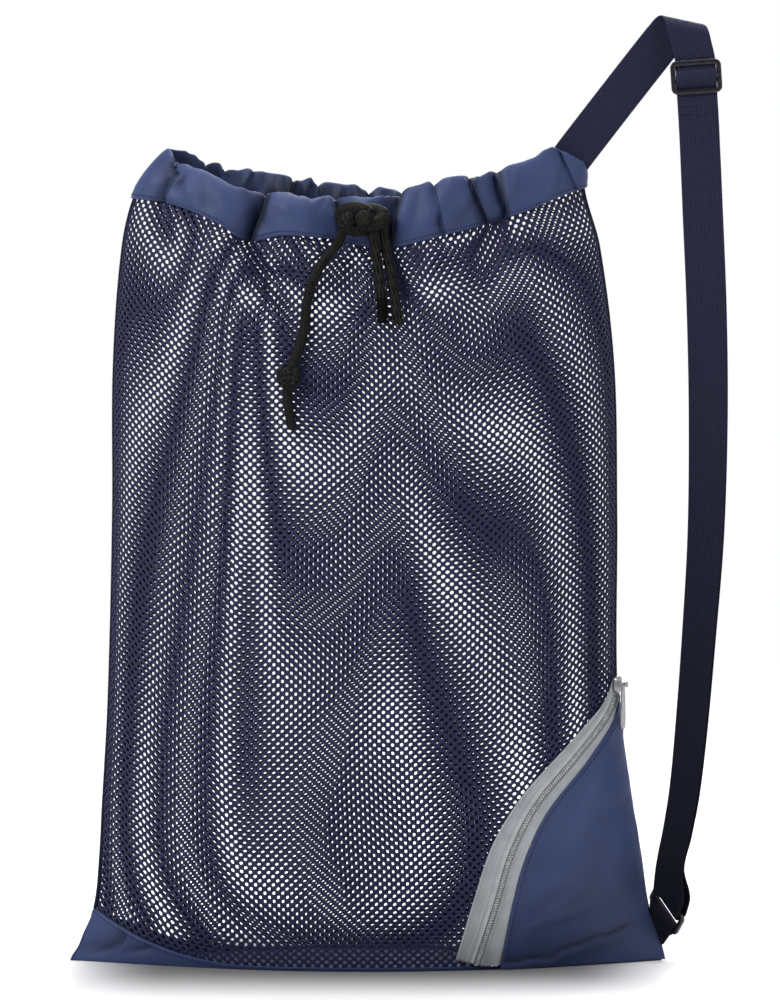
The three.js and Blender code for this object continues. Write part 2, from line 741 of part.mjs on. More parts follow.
/** Strap from the casing over the top, through the slider, round the loop and back up. */
function shoulderStrap() {
  const top = STRAP_TOP.map((row) => ({
    middle: new THREE.Vector3(row.x, row.y, row.z),
    across: acrossStrap(row),
  }));
  const { x, y, z } = STRAP_SLIDER_CENTRE;
  const lean = Math.sin(STRAP_SLIDER_TILT);
  const sliderAcross = new THREE.Vector3(Math.cos(STRAP_SLIDER_TILT), 0, lean);
  const atSlider = ({ down, behind }) => ({
    middle: new THREE.Vector3(x + down * lean, y + behind, z - down * Math.cos(STRAP_SLIDER_TILT)),
    across: sliderAcross,
  });
  const layer = (side) => STRAP_DROP.map((row) => {
    const across = acrossStrap(row);
    const front = new THREE.Vector3().crossVectors(across, UP).normalize();
    const middle = new THREE.Vector3(row.x, row.y, row.z).addScaledVector(front, -side * LAYER_SPREAD);
    return { middle, across };
  });
  const drop = [
    ...STRAP_WEAVE.map(atSlider),
    ...layer(FRONT),
    besideBar(1, BAR_TURN_RADIUS, STRAP_APPROACH),
    ...barTurn(1, BAR_TURN_RADIUS, 0, Math.PI),
    besideBar(1, -BAR_TURN_RADIUS, STRAP_APPROACH),
    ...layer(BACK).reverse(),
    ...STRAP_RETURN.map(atSlider),
  ];
  return band([...squared(top), ...strapFold(), ...squared(drop)]);
}

/** Short webbing tab from the base's corner seam, round the loop's lower bar and back. */
function anchorTab() {
  const seamAt = (z) => {
    const { middle, half } = sectionAt(z);
    return new THREE.Vector3(middle + half, 0, z);
  };
  const across = seamAt(TAB_Z - 1).sub(seamAt(TAB_Z + 1)).normalize();
  const outwards = new THREE.Vector3(-across.z, 0, across.x);
  const besideSeam = (side, distance) => ({
    middle: seamAt(TAB_Z).addScaledVector(outwards, distance).setY(side * LAYER_SPREAD),
    across,
  });
  const straight = TAB_GAP + TAB_STRAIGHT;
  return band([
    besideSeam(FRONT, TAB_GAP),
    besideSeam(FRONT, straight),
    ...barTurn(-1, TAB_WRAP_RADIUS, TAB_WRAP_START, TAB_WRAP_END),
    besideSeam(BACK, straight),
    besideSeam(BACK, TAB_GAP),
  ]);
}

/** Casing ring with a slot in its right end, where the strap is sewn in. */
function casing() {
  const sections = [];
  for (let step = 0; step < CASING_STEPS; step += 1) {
    const [side, angle] = roundTheBag(step, CASING_STEPS);
    sections.push(CASING_SECTION.map(({ share, lift }) => (
      onBag(side, angle, casingHeight(side, angle, share), lift)
    )));
  }
  const [sewn, next] = STRAP_TOP;
  const start = new THREE.Vector3(sewn.x, sewn.y, sewn.z);
  const run = new THREE.Vector3(next.x, next.y, next.z).sub(start).normalize();
  const across = acrossStrap(sewn);
  const side = across.addScaledVector(run, -across.dot(run)).normalize();
  const face = new THREE.Vector3().crossVectors(run, side);
  const slot = new THREE.BoxGeometry(
    WEBBING_WIDTH + 2 * STRAP_SLOT_CLEARANCE,
    WEBBING_THICKNESS + 2 * STRAP_SLOT_CLEARANCE,
    STRAP_SLOT_DEPTH + STRAP_SLOT_CLEARANCE,
  );
  const middle = start.addScaledVector(run, (STRAP_SLOT_DEPTH - STRAP_SLOT_CLEARANCE) / 2);
  slot.applyMatrix4(new THREE.Matrix4().makeBasis(side, face, run).setPosition(middle));
  return toGeometry(toSolid(sweptSolid(sections, true)).subtract(toSolid(slot)));
}

/** Place beside the zip's middle as seen from the front, offset towards the pocket. */
function besideZip(run, offset) {
  const step = 1;
  const dx = along(ZIP_PATH, 'run', run + step, 'x') - along(ZIP_PATH, 'run', run - step, 'x');
  const dz = along(ZIP_PATH, 'run', run + step, 'z') - along(ZIP_PATH, 'run', run - step, 'z');
  const length = Math.hypot(dx, dz);
  const x = along(ZIP_PATH, 'run', run, 'x') + (offset * dz) / length;
  const z = along(ZIP_PATH, 'run', run, 'z') - (offset * dx) / length;
  const angle = angleAt(x, z);
  return { angle, z: Math.max(z, baseSeam(angle) + SEAM_GAP) };
}

const zipLength = ZIP_PATH[ZIP_PATH.length - 1].run;
const zipRuns = (share) => (
  Array.from({ length: ZIP_STEPS + 1 }, (_, step) => (zipLength * share * step) / ZIP_STEPS)
);

/** One side's tape, from beside the coil to its outer edge. */
function zipTape(side, reach) {
  const coilEdge = COIL_WIDTH / 2 + SEAM_GAP;
  const wall = (lift) => zipRuns(1).map((run) => {
    const edge = along(ZIP_PATH, 'run', run, reach);
    return [coilEdge, (coilEdge + edge) / 2, edge].map((distance) => {
      const { angle, z } = besideZip(run, side * distance);
      return onBag(FRONT, angle, z, lift);
    });
  });
  return sheetSolid(wall(OVERLAY_LIFT + TAPE_THICKNESS), wall(OVERLAY_LIFT));
}

/** Closed row of teeth, up to the slider. */
function zipCoil() {
  const sections = zipRuns(COIL_END_SHARE).map((run) => COIL_SECTION.map(({ across, height }) => {
    const { angle, z } = besideZip(run, (across * COIL_WIDTH) / 2);
    return onBag(FRONT, angle, z, OVERLAY_LIFT + height * COIL_HEIGHT);
  }));
  return sweptSolid(sections, false);
}

/** Pocket over the corner: between the zip, the side seam and the base seam. */
function pocketPanel() {
  const zipEdge = (rise) => {
    const run = zipLength * POCKET_TOP_SHARE * rise;
    return besideZip(run, along(ZIP_PATH, 'run', run, 'inner') + SEAM_GAP);
  };
  const seamLow = baseSeam(0) + SEAM_GAP;
  const seamHigh = zipEdge(1).z;
  const bottomAngle = zipEdge(0).angle;
  const wall = (lift) => {
    const grid = [];
    for (let row = 0; row <= POCKET_ROWS; row += 1) {
      const rise = row / POCKET_ROWS;
      const left = zipEdge(rise);
      const right = { angle: SEAM_ANGLE, z: THREE.MathUtils.lerp(seamLow, seamHigh, rise) };
      const line = [];
      for (let column = 0; column <= POCKET_COLUMNS; column += 1) {
        const over = 1 - column / POCKET_COLUMNS;
        const angle = THREE.MathUtils.lerp(left.angle, right.angle, over);
        const bottom = baseSeam(THREE.MathUtils.lerp(bottomAngle, SEAM_ANGLE, over)) + SEAM_GAP;
        const straight = THREE.MathUtils.lerp(zipEdge(0).z, seamLow, over);
        const z = THREE.MathUtils.lerp(left.z, right.z, over) + (1 - rise) * (bottom - straight);
        line.push(onBag(FRONT, angle, z, lift));
      }
      grid.push(line);
    }
    return grid;
  };
  return sheetSolid(wall(OVERLAY_LIFT + NYLON_WALL), wall(OVERLAY_LIFT));
}

/** Slider body with two lugs and the pin between them. Local axes: across, up, outwards. */
function zipSlider() {
  const outline = roundedRectangle(new THREE.Shape(), SLIDER_WIDTH, SLIDER_LENGTH, SLIDER_CORNER);
  const body = plate(outline, SLIDER_THICKNESS, SLIDER_BEVEL).translate(0, 0, SLIDER_THICKNESS / 2);
  const pinHeight = SLIDER_THICKNESS + PIN_LIFT;
  const lugHeight = pinHeight + LUG_OVER_PIN - SLIDER_THICKNESS / 2;
  const lugOffset = (LUG_INSIDE + LUG_THICKNESS) / 2;
  const lugs = [-1, 1].map((side) => (
    new THREE.BoxGeometry(LUG_THICKNESS, LUG_LENGTH, lugHeight)
      .translate(side * lugOffset, 0, SLIDER_THICKNESS / 2 + lugHeight / 2)
  ));
  const pin = new THREE.CylinderGeometry(PIN_RADIUS, PIN_RADIUS, LUG_INSIDE + LUG_THICKNESS, PIN_SIDES)
    .rotateZ(Math.PI / 2)
    .translate(0, 0, pinHeight);
  return toGeometry([...lugs, pin].reduce((solid, piece) => solid.add(toSolid(piece)), toSolid(body)));
}

/** Flat pull with an eye round the slider's pin. The origin is on the pin. */
function zipPull() {
  const eyeShape = roundShape(PULL_EYE_RADIUS, EYE_SIDES);
  const eyeHole = roundShape(PIN_RADIUS + PIN_CLEARANCE, PIN_SIDES);
  eyeShape.holes.push(new THREE.Path(eyeHole.getPoints()));
  const eye = plate(eyeShape, PULL_EYE_WIDTH, 0).rotateY(Math.PI / 2);
  const half = PULL_WIDTH / 2;
  const neck = PULL_EYE_WIDTH / 2;
  const top = -PIN_RADIUS - PIN_CLEARANCE - SEAM_GAP;
  const blade = new THREE.Shape();
  blade.moveTo(-neck, top);
  blade.lineTo(-half, top - PULL_LENGTH / 2);
  blade.lineTo(-half, half - PULL_LENGTH);
  blade.absarc(0, half - PULL_LENGTH, half, Math.PI, 2 * Math.PI);
  blade.lineTo(half, top - PULL_LENGTH / 2);
  blade.lineTo(neck, top);
  return toGeometry(toSolid(eye).add(toSolid(plate(blade, PULL_THICKNESS, PULL_BEVEL))));
}

/** Three-bar slider of the strap, lying flat, its bars along X. */
function strapSlider() {
  const outline = roundedRectangle(new THREE.Shape(), BUCKLE_WIDTH, BUCKLE_HEIGHT, BUCKLE_CORNER);
  const slotWidth = BUCKLE_WIDTH - 2 * BUCKLE_SIDE;
  const slotHeight = (BUCKLE_HEIGHT - 2 * BUCKLE_BAR - LOOP_BAR) / 2;
  [-1, 1].forEach((side) => {
    const slot = roundedRectangle(new THREE.Path(), slotWidth, slotHeight, SLOT_CORNER);
    const shift = new THREE.Vector2(0, (side * (slotHeight + LOOP_BAR)) / 2);
    outline.holes.push(new THREE.Path(slot.getPoints(CORNER_STEPS).map((point) => point.add(shift))));
  });
  return plate(outline, SLIDER_DEPTH, BUCKLE_BEVEL);
}

/** Rectangular loop, lying flat, its bars along X. */
function lowerLoop() {
  const outline = roundedRectangle(new THREE.Shape(), BUCKLE_WIDTH, BUCKLE_HEIGHT, BUCKLE_CORNER);
  const slotWidth = BUCKLE_WIDTH - 2 * BUCKLE_SIDE;
  const slotHeight = BUCKLE_HEIGHT - 2 * LOOP_BAR;
  outline.holes.push(roundedRectangle(new THREE.Path(), slotWidth, slotHeight, SLOT_CORNER));
  return plate(outline, LOOP_DEPTH, BUCKLE_BEVEL);
}

/** Middle of a cord lying on the front at a distance. */
function cordPoint({ x, z, off }) {
  return onBag(FRONT, angleAt(x, z), z, 0).add(new THREE.Vector3(0, -off - CORD_DIAMETER / 2, 0));
}

/** Knot of cord rounds about a core, in the bag's frame, grown by a clearance. */
function knot({ x, z, off, core, rounds }, clearance) {
  const tube = CORD_DIAMETER / 2 + clearance;
  const deepest = Math.max(...rounds.map(({ ring }) => ring)) + CORD_DIAMETER / 2;
  const centre = onBag(FRONT, angleAt(x, z), z, 0).add(new THREE.Vector3(0, -off - deepest, 0));
  const heart = new THREE.SphereGeometry(1, CORE_SIDES, CORE_ROWS)
    .scale(core.wide + clearance, core.deep + clearance, core.high + clearance);
  const turns = rounds.map((round) => (
    new THREE.TorusGeometry(round.ring, tube, KNOT_SIDES, KNOT_STEPS)
      .rotateX(Math.PI / 2)
      .rotateZ(THREE.MathUtils.degToRad(round.yaw))
      .rotateY(THREE.MathUtils.degToRad(round.roll))
      .translate(round.x, 0, round.z)
  ));
  const solid = turns.reduce((sum, turn) => sum.add(toSolid(turn)), toSolid(heart));
  return solid.translate([centre.x, centre.y, centre.z]);
}

/** Free tail of the cord, cut off against the knots that it comes out of. */
function cordTail(rows, knots) {
  const path = new THREE.CatmullRomCurve3(rows.map(cordPoint));
  const geometry = new THREE.ExtrudeGeometry(roundShape(CORD_DIAMETER / 2, CORD_SIDES), {
    steps: Math.max(CORD_MIN_STEPS, Math.round(path.getLength() / CORD_STEP)),
    extrudePath: path,
    bevelEnabled: false,
  });
  const cut = knots.reduce((solid, shape) => solid.subtract(knot(shape, CORD_GAP)), toSolid(geometry));
  return toGeometry(cut);
}

const bag = new THREE.Group();

/** Named mesh of one piece, with a material of its own. */
function place(name, geometry, finish, parent = bag) {
  const mesh = new THREE.Mesh(geometry, new THREE.MeshStandardMaterial(finish));
  mesh.name = name;
  parent.add(mesh);
  return mesh;
}

/** Group whose axes are given directions, for pieces that are drawn lying flat. */
function turnedGroup(origin, across, up, outwards) {
  const group = new THREE.Group();
  group.position.copy(origin);
  group.setRotationFromMatrix(new THREE.Matrix4().makeBasis(across, up, outwards));
  bag.add(group);
  return group;
}

place('front_mesh', netPanel(FRONT), FINISHES.net);
place('back_mesh', netPanel(BACK), FINISHES.net);
place('base_panel', basePanel(), FINISHES.nylon);
place('casing', casing(), FINISHES.nylon);
place('pocket_panel', pocketPanel(), FINISHES.nylon);

place('zip_tape_outer', zipTape(-1, 'outer'), FINISHES.tape);
place('zip_tape_inner', zipTape(1, 'inner'), FINISHES.tape);
place('zip_coil', zipCoil(), FINISHES.coil);
const sliderAngle = angleAt(SLIDER_X, SLIDER_Z);
const sliderFoot = onBag(FRONT, sliderAngle, SLIDER_Z, 0);
const sliderAcross = onBag(FRONT, sliderAngle - SEAM_ANGLE, SLIDER_Z, 0)
  .sub(onBag(FRONT, sliderAngle + SEAM_ANGLE, SLIDER_Z, 0))
  .normalize();
const sliderOut = new THREE.Vector3().crossVectors(sliderAcross, UP);
const sliderOrigin = sliderFoot.addScaledVector(sliderOut, SLIDER_LIFT);
const sliderGroup = turnedGroup(sliderOrigin, sliderAcross, UP, sliderOut);
place('zip_slider', zipSlider(), FINISHES.metal, sliderGroup);
place('zip_pull', zipPull(), FINISHES.metal, sliderGroup).position.z = SLIDER_THICKNESS + PIN_LIFT;

place('shoulder_strap', shoulderStrap(), FINISHES.webbing);
const buckle = place('strap_slider', strapSlider(), FINISHES.plastic);
buckle.position.set(STRAP_SLIDER_CENTRE.x, STRAP_SLIDER_CENTRE.y, STRAP_SLIDER_CENTRE.z);
buckle.rotation.set(Math.PI / 2, -STRAP_SLIDER_TILT, 0, 'YXZ');
const loopGroup = turnedGroup(LOOP_CENTRE, loopAlong, loopUp, loopFace);
place('lower_loop', lowerLoop(), FINISHES.plastic, loopGroup);
place('anchor_tab', anchorTab(), FINISHES.webbing);

place('draw_knot', toGeometry(knot(DRAW_KNOT, 0)), FINISHES.cord);
place('stop_knot', toGeometry(knot(STOP_KNOT, 0)), FINISHES.cord);
place('draw_cord_left', cordTail(LEFT_TAIL, [DRAW_KNOT, STOP_KNOT]), FINISHES.cord);
place('draw_cord_left_end', cordTail(LEFT_TAIL_END, [STOP_KNOT]), FINISHES.cord);
place('draw_cord_right', cordTail(RIGHT_TAIL, [DRAW_KNOT]), FINISHES.cord);
place('draw_cord_short', cordTail(SHORT_TAIL, [DRAW_KNOT]), FINISHES.cord);

export default bag;
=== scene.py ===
"""Looks of a mesh swim bag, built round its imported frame.

Metres, +Z up, +Y away from the front. The tables repeat the bag's form and the cord's route.
"""

import json
import logging
import math
from dataclasses import dataclass, field, replace
from enum import Enum
from typing import NamedTuple, Sequence, TypeVar

import bmesh
import bpy
import numpy as np
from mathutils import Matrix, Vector

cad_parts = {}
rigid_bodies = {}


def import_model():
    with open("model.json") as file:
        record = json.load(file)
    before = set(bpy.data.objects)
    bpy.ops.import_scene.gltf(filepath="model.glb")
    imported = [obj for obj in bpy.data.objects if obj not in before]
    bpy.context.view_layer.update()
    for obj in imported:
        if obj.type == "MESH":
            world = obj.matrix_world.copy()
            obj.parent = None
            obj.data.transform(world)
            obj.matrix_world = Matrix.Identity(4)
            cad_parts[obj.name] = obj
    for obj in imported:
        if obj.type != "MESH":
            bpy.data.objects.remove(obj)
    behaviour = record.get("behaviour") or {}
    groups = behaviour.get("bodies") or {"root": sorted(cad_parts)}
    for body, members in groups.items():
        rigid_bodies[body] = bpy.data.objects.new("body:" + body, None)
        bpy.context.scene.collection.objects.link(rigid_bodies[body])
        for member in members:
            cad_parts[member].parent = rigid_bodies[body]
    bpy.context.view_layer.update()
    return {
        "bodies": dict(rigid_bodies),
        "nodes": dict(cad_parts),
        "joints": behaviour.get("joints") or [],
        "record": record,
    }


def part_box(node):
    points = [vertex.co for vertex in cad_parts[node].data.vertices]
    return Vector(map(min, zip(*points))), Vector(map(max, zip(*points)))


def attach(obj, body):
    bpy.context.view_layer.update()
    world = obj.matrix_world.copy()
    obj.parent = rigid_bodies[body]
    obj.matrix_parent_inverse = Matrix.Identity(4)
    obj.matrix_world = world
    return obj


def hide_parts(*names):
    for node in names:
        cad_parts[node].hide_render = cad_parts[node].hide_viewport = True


LOG = logging.getLogger("mesh_swim_bag")
MM = 0.001
UP = np.array([0.0, 0.0, 1.0])
FORWARDS = Vector((0, -1, 0))
DOWNWARDS = Vector((0, 0, -1))
DOUBLED = 0.01 * MM
Array = np.ndarray
Material = bpy.types.Material
Piece = bpy.types.Object
Socket = bpy.types.NodeSocket
Colour = tuple[float, float, float]
Point = tuple[float, float, float]
Span = tuple[float, float]
Faces = list[tuple[int, ...]]
Solid = tuple[Array, Faces]
Tube = tuple[Array, Faces, Array]
Station = tuple[Array, Array]
Line = tuple[Array, Array]
Row = TypeVar("Row", bound=tuple)


class Body(Enum):
    """Bodies of the frame that the pieces ride on."""

    BAG = "bag"
    PULL = "zip_pull"


class Slot(Enum):
    """Material slots of the record."""

    NET = "net"
    NYLON = "nylon"
    TAPE = "zip_tape"
    TEETH = "zip_teeth"
    METAL = "metal"
    WEBBING = "webbing"
    BUCKLE = "buckle"
    CORD = "cord"


class Side(Enum):
    """Sides of the bag, each with its sign along Y."""

    FRONT = -1
    BACK = 1


class Hold(Enum):
    """How a cloth is held."""

    GATHERED = "gathered"
    HUNG = "hung"
    STRETCHED = "stretched"


class Braid(Enum):
    """Lay of a cord's strands: strands round it, and the length of one turn."""

    CLOSE = (4, 3.6 * MM)
    LONG = (8, 40 * MM)


class Level(NamedTuple):
    """The filled bag at one height: side seams, half depth and pointedness of the section."""

    z: float
    left: float
    right: float
    depth: float
    point: float


class HemRow(NamedTuple):
    """Top and lower edge of the casing at a share of the half width."""

    across: float
    rim: float
    hem: float


class Fold(NamedTuple):
    """Gather under the casing: start, depth inwards, half width, reach down and lean."""

    x: float
    depth: float
    spread: float
    reach: float
    lean: float


class Crease(NamedTuple):
    """Sharp crease in the casing, by its ends at the lower edge and the rim.

    Each flank has its own width; below the casing the crease leans and fades in the net.
    """

    hem_x: float
    hem_z: float
    rim_x: float
    rim_z: float
    depth: float
    left: float
    right: float
    reach: float
    lean: float


class ZipRow(NamedTuple):
    """Middle of the zip by the length run along it, with the reach of both tapes."""

    run: float
    x: float
    z: float
    outer: float
    inner: float


class StrapRow(NamedTuple):
    """Middle of the strap; tilt lowers the right edge and turn brings it forward, in degrees."""

    x: float
    y: float
    z: float
    tilt: float
    turn: float


class SliderRow(NamedTuple):
    """Strap at its slider: distance down from the middle bar and distance behind it."""

    down: float
    behind: float


class CordRow(NamedTuple):
    """Point of a cord tail as seen from the front, and its distance from the net."""

    x: float
    z: float
    off: float


class Contour(NamedTuple):
    """Point of the casing's section: height share, and distance outside the net's face."""

    share: float
    lift: float


class Knot(NamedTuple):
    """Knot of the cord, named after its solid.

    It has its thickness as a share of the cord's, its turn in degrees, and how far it outgrows its solid.
    """

    node: str
    share: float
    turn: float
    below: Point
    above: Point


def table(kind: type[Row], *rows: tuple[float, ...], scale: float = 1.0) -> tuple[Row, ...]:
    """Rows of numbers, on a scale of their own, as a table of one kind of row."""
    return tuple(kind(*(scale * value for value in row)) for row in rows)


PROFILE = table(
    Level,
    (0, -0.223, 0.224, 0.05, 2.3), (0.02, -0.215, 0.219, 0.058, 2), (0.043, -0.206, 0.211, 0.064, 1.75),
    (0.08, -0.202, 0.2055, 0.07, 1.5), (0.115, -0.2, 0.1995, 0.074, 1.38),
    (0.2, -0.195, 0.1885, 0.079, 1.28), (0.34, -0.191, 0.1875, 0.079, 1.22),
    (0.45, -0.19, 0.185, 0.07, 1.18), (0.54, -0.183, 0.174, 0.055, 1.1),
    (0.58, -0.173, 0.163, 0.047, 1.05), (0.604, -0.157, 0.161, 0.043, 1.05),
    (0.622, -0.143, 0.16, 0.041, 1.05),
)
CASING_EDGES = {
    Side.FRONT: table(
        HemRow,
        (-1, 0.614, 0.577), (-0.8, 0.604, 0.573), (-0.6, 0.592, 0.56), (-0.46, 0.586, 0.546),
        (-0.32, 0.589, 0.551), (-0.12, 0.58, 0.548), (0.1, 0.578, 0.541), (0.3, 0.584, 0.549),
        (0.47, 0.587, 0.556), (0.63, 0.593, 0.563), (0.76, 0.603, 0.571), (0.88, 0.614, 0.579),
        (1, 0.605, 0.585),
    ),
    Side.BACK: table(
        HemRow,
        (-1, 0.614, 0.577), (-0.7, 0.6, 0.566), (-0.3, 0.59, 0.553), (0.05, 0.584, 0.546),
        (0.4, 0.589, 0.553), (0.75, 0.603, 0.57), (0.88, 0.613, 0.578), (1, 0.605, 0.585),
    ),
}
FOLD_TOP = 0.541
FOLDS = {
    Side.FRONT: table(
        Fold,
        (-0.152, 0.004, 0.008, 0.05, 0.1), (-0.118, -0.003, 0.016, 0.07, 0.7),
        (-0.084, 0.006, 0.012, 0.12, 0.75), (-0.054, -0.004, 0.015, 0.08, 0.5),
        (-0.024, 0.005, 0.008, 0.08, 0.2), (0.018, 0.005, 0.008, 0.09, 0.3),
        (0.056, -0.004, 0.018, 0.07, 0.1), (0.098, 0.006, 0.009, 0.08, -0.25),
        (0.124, -0.003, 0.011, 0.05, 0),
    ),
    Side.BACK: table(
        Fold,
        (-0.128, 0.005, 0.01, 0.06, 0.2), (-0.096, -0.003, 0.014, 0.06, 0.2),
        (-0.062, 0.006, 0.01, 0.1, 0.3), (-0.008, 0.005, 0.011, 0.08, -0.1),
        (0.024, -0.004, 0.014, 0.07, -0.2), (0.058, 0.006, 0.01, 0.1, -0.4),
        (0.112, 0.005, 0.01, 0.06, -0.2),
    ),
}
CREASES = {
    Side.FRONT: table(
        Crease,
        (-0.15, 0.577, -0.139, 0.606, 0.012, 0.006, 0.0014, 0.035, 0.2),
        (-0.085, 0.543, -0.072, 0.58, 0.013, 0.009, 0.0014, 0.045, 0.6),
        (-0.02, 0.549, -0.023, 0.578, 0.009, 0.002, 0.006, 0.04, 0.2),
        (0.018, 0.543, 0.025, 0.58, 0.011, 0.008, 0.0014, 0.04, 0.3),
        (0.058, 0.55, 0.05, 0.586, 0.004, 0.005, 0.0014, 0.03, 0.1),
        (0.09, 0.56, 0.076, 0.591, 0.01, 0.004, 0.002, 0.035, -0.2),
        (0.105, 0.569, 0.095, 0.597, 0.012, 0.005, 0.0013, 0.035, -0.2),
        (0.158, 0.581, 0.1455, 0.609, 0.012, 0.004, 0.0012, 0.02, 0.2),
    ),
    Side.BACK: table(
        Crease,
        (-0.128, 0.57, -0.12, 0.602, 0.006, 0.003, 0.006, 0.03, 0.2),
        (-0.1, 0.565, -0.104, 0.596, 0.005, 0.002, 0.004, 0.03, 0.2),
        (-0.062, 0.557, -0.055, 0.592, 0.008, 0.007, 0.002, 0.04, 0.3),
        (-0.03, 0.552, -0.036, 0.588, 0.005, 0.003, 0.005, 0.03, 0.1),
        (-0.006, 0.548, 0.002, 0.586, 0.007, 0.006, 0.002, 0.04, -0.1),
        (0.03, 0.548, 0.026, 0.587, 0.006, 0.002, 0.005, 0.03, -0.1),
        (0.058, 0.553, 0.066, 0.59, 0.008, 0.007, 0.002, 0.04, -0.4),
        (0.09, 0.562, 0.084, 0.598, 0.005, 0.003, 0.004, 0.03, -0.2),
        (0.114, 0.57, 0.12, 0.604, 0.006, 0.005, 0.002, 0.03, -0.2),
    ),
}
RIM_RAISE = {
    Side.FRONT: (
        (-0.15, 0), (-0.135, -0.005), (-0.075, -0.005), (-0.06, -0.0085), (-0.04, -0.0085),
        (-0.027, -0.001), (0.02, 0), (0.036, 0.0037), (0.05, 0.0062), (0.074, 0.0075), (0.083, 0.004),
        (0.094, 0.0075), (0.104, 0.0056), (0.117, 0.0025), (0.13, 0.002), (0.145, 0),
    ),
    Side.BACK: ((-0.02, 0), (0.0, -0.0022), (0.12, -0.0035), (0.14, 0)),
}
CASING_WRAP = table(
    Contour,
    (0, 0.0025), (0.3, 0.0036), (0.62, 0.0038), (0.88, 0.002), (0.97, 0.0005), (1, -0.0008),
    (0.97, -0.002), (0.88, -0.0034), (0.62, -0.0054), (0.3, -0.005), (0, -0.0039),
)
ZIP_PATH = table(
    ZipRow,
    (0, 81.2, 4.6, 16, 18.5), (50.7, 95.8, 53, 16.8, 12.8), (91.3, 107.2, 92, 15.5, 11.8),
    (130.7, 125.3, 127, 12.5, 10.8), (179.5, 157.1, 164, 10.2, 10.2), (211.8, 177.6, 189, 7.8, 8.2),
    (227.2, 184, 203, 5, 5), (239.8, 185.8, 215.5, 2.8, 2.2),
    scale=MM,
)
FOOT_CREASE = ((0.095, 0.0065), (0.137, 0.0094), (0.154, 0.018), (0.205, 0.0315))
STRAP_TOP = table(
    StrapRow,
    (0.1505, 0, 0.6035, 36, 0), (0.156, 0, 0.611, 36, 0), (0.19, 0.0015, 0.655, 37, 0),
    (0.22, 0.0025, 0.6933, 37, 0),
)
STRAP_WEAVE = table(
    SliderRow,
    (-14, 2.7), (-10.5, 2.75), (-8.6, 2.45), (-2.4, -2.15), (0, -2.4), (2.4, -2.15), (8.6, 2.45),
    (10.5, 2.75), (14, 2.7),
    scale=MM,
)
STRAP_RETURN = table(
    SliderRow,
    (14, 5), (8.6, 4.75), (3.5, 3.25), (0, 2.25),
    scale=MM,
)
STRAP_DROP = table(
    StrapRow,
    (0.2475, -0.0131, 0.63, -3, 2), (0.2505, -0.013, 0.569, -2, 8), (0.254, -0.0135, 0.49, -1, 15),
    (0.2554, -0.014, 0.411, 0, 23), (0.254, -0.0145, 0.325, 1, 33), (0.249, -0.015, 0.246, 3, 41),
    (0.244, -0.0155, 0.181, 5, 45), (0.239, -0.016, 0.132, 7, 49), (0.2336, -0.0165, 0.1, 12, 53),
    (0.2286, -0.0165, 0.074, 22, 55),
)
LEFT_TAIL = table(
    CordRow,
    (-15.5, 558, 9.5), (-18, 552.5, 9.2), (-21, 546, 8.5), (-24.5, 541, 6.5), (-28.5, 536.5, 3.5),
    (-32, 532, 2.3), (-35.2, 527, 1.7), (-38, 521.5, 1.5), (-40.5, 515, 1.5), (-42.4, 508.5, 1.5),
    (-43.8, 502, 1.5), (-44.7, 495, 1.5), (-45.4, 488, 1.5), (-46.4, 481, 1.5), (-48, 474, 1.7),
    (-50.4, 467, 2.1), (-53.2, 460.5, 2.9), (-55, 454.5, 4.5), (-56.8, 447.5, 5), (-57.8, 441, 4.2),
    (-58.2, 435.5, 2.7), (-57.9, 429, 2.1), (-57, 422, 1.7), (-56, 415.5, 1.5), (-54.9, 408.8, 1.5),
    scale=MM,
)
RIGHT_TAIL = table(
    CordRow,
    (4.4, 556, 9.5), (5, 551.5, 8.4), (5.6, 547, 7), (6.4, 541, 4.6), (7.2, 535, 3.1), (8, 529, 2.3),
    (8.8, 523, 1.9), (9.6, 517, 1.7), (10.4, 511, 1.6), (11, 505, 1.5), (11.4, 499, 1.5), (11.6, 493, 1.5),
    (11.6, 487, 1.5),
    scale=MM,
)
SHORT_TAIL = table(
    CordRow,
    (11.6, 559.5, 9.4), (12.3, 556, 9), (12.9, 551.5, 8.4), (13.7, 547, 7), (14.6, 541, 4.6),
    (15.6, 535, 3.1), (16.6, 529, 2.3), (17.6, 523, 1.9), (18.7, 517, 1.7), (19.8, 511, 1.6),
    (20.8, 505, 1.5), (21.8, 499, 1.5), (22.8, 492, 1.5), (23.6, 486, 1.5),
    scale=MM,
)
KNOTS = (
    Knot("draw_knot", 0.8, 12, (0.0015, 0.001, 0.004), (0.0035, 0, 0.001)),
    Knot("stop_knot", 0.58, 35, (0, 0, 0.001), (0, 0, 0.0003)),
)
CUT_END = ((0.004, 0.014, 0.003), (0.001, 0.007, 0.001), (0, 0.003, 0), (0, -0.001, 0))


def hermite(keys: Array, values: Array, at: Array) -> Array:
    """Values on a smooth curve through given ones.

    Args:
        keys: Rising places of the given values.
        values: The given values, one row for each key.
        at: Places to read the curve at.

    Returns:
        The curve's values.
    """
    last = len(keys) - 1
    rows = np.arange(last + 1)
    before = np.maximum(rows - 1, 0)
    after = np.minimum(rows + 1, last)
    wide = (slice(None),) + (None,) * (values.ndim - 1)
    slopes = (values[after] - values[before]) / (keys[after] - keys[before])[wide]
    low = np.clip(np.searchsorted(keys, at) - 1, 0, last - 1)
    span = keys[low + 1] - keys[low]
    t = np.clip((at - keys[low]) / span, 0, 1)
    deep = (...,) + (None,) * (values.ndim - 1)
    rise = (t * t * (3 - 2 * t))[deep]
    leave = (t * (1 - t) ** 2 * span)[deep]
    arrive = (t ** 2 * (1 - t) * span)[deep]
    line = values[low] + (values[low + 1] - values[low]) * rise
    return line + slopes[low] * leave - slopes[low + 1] * arrive


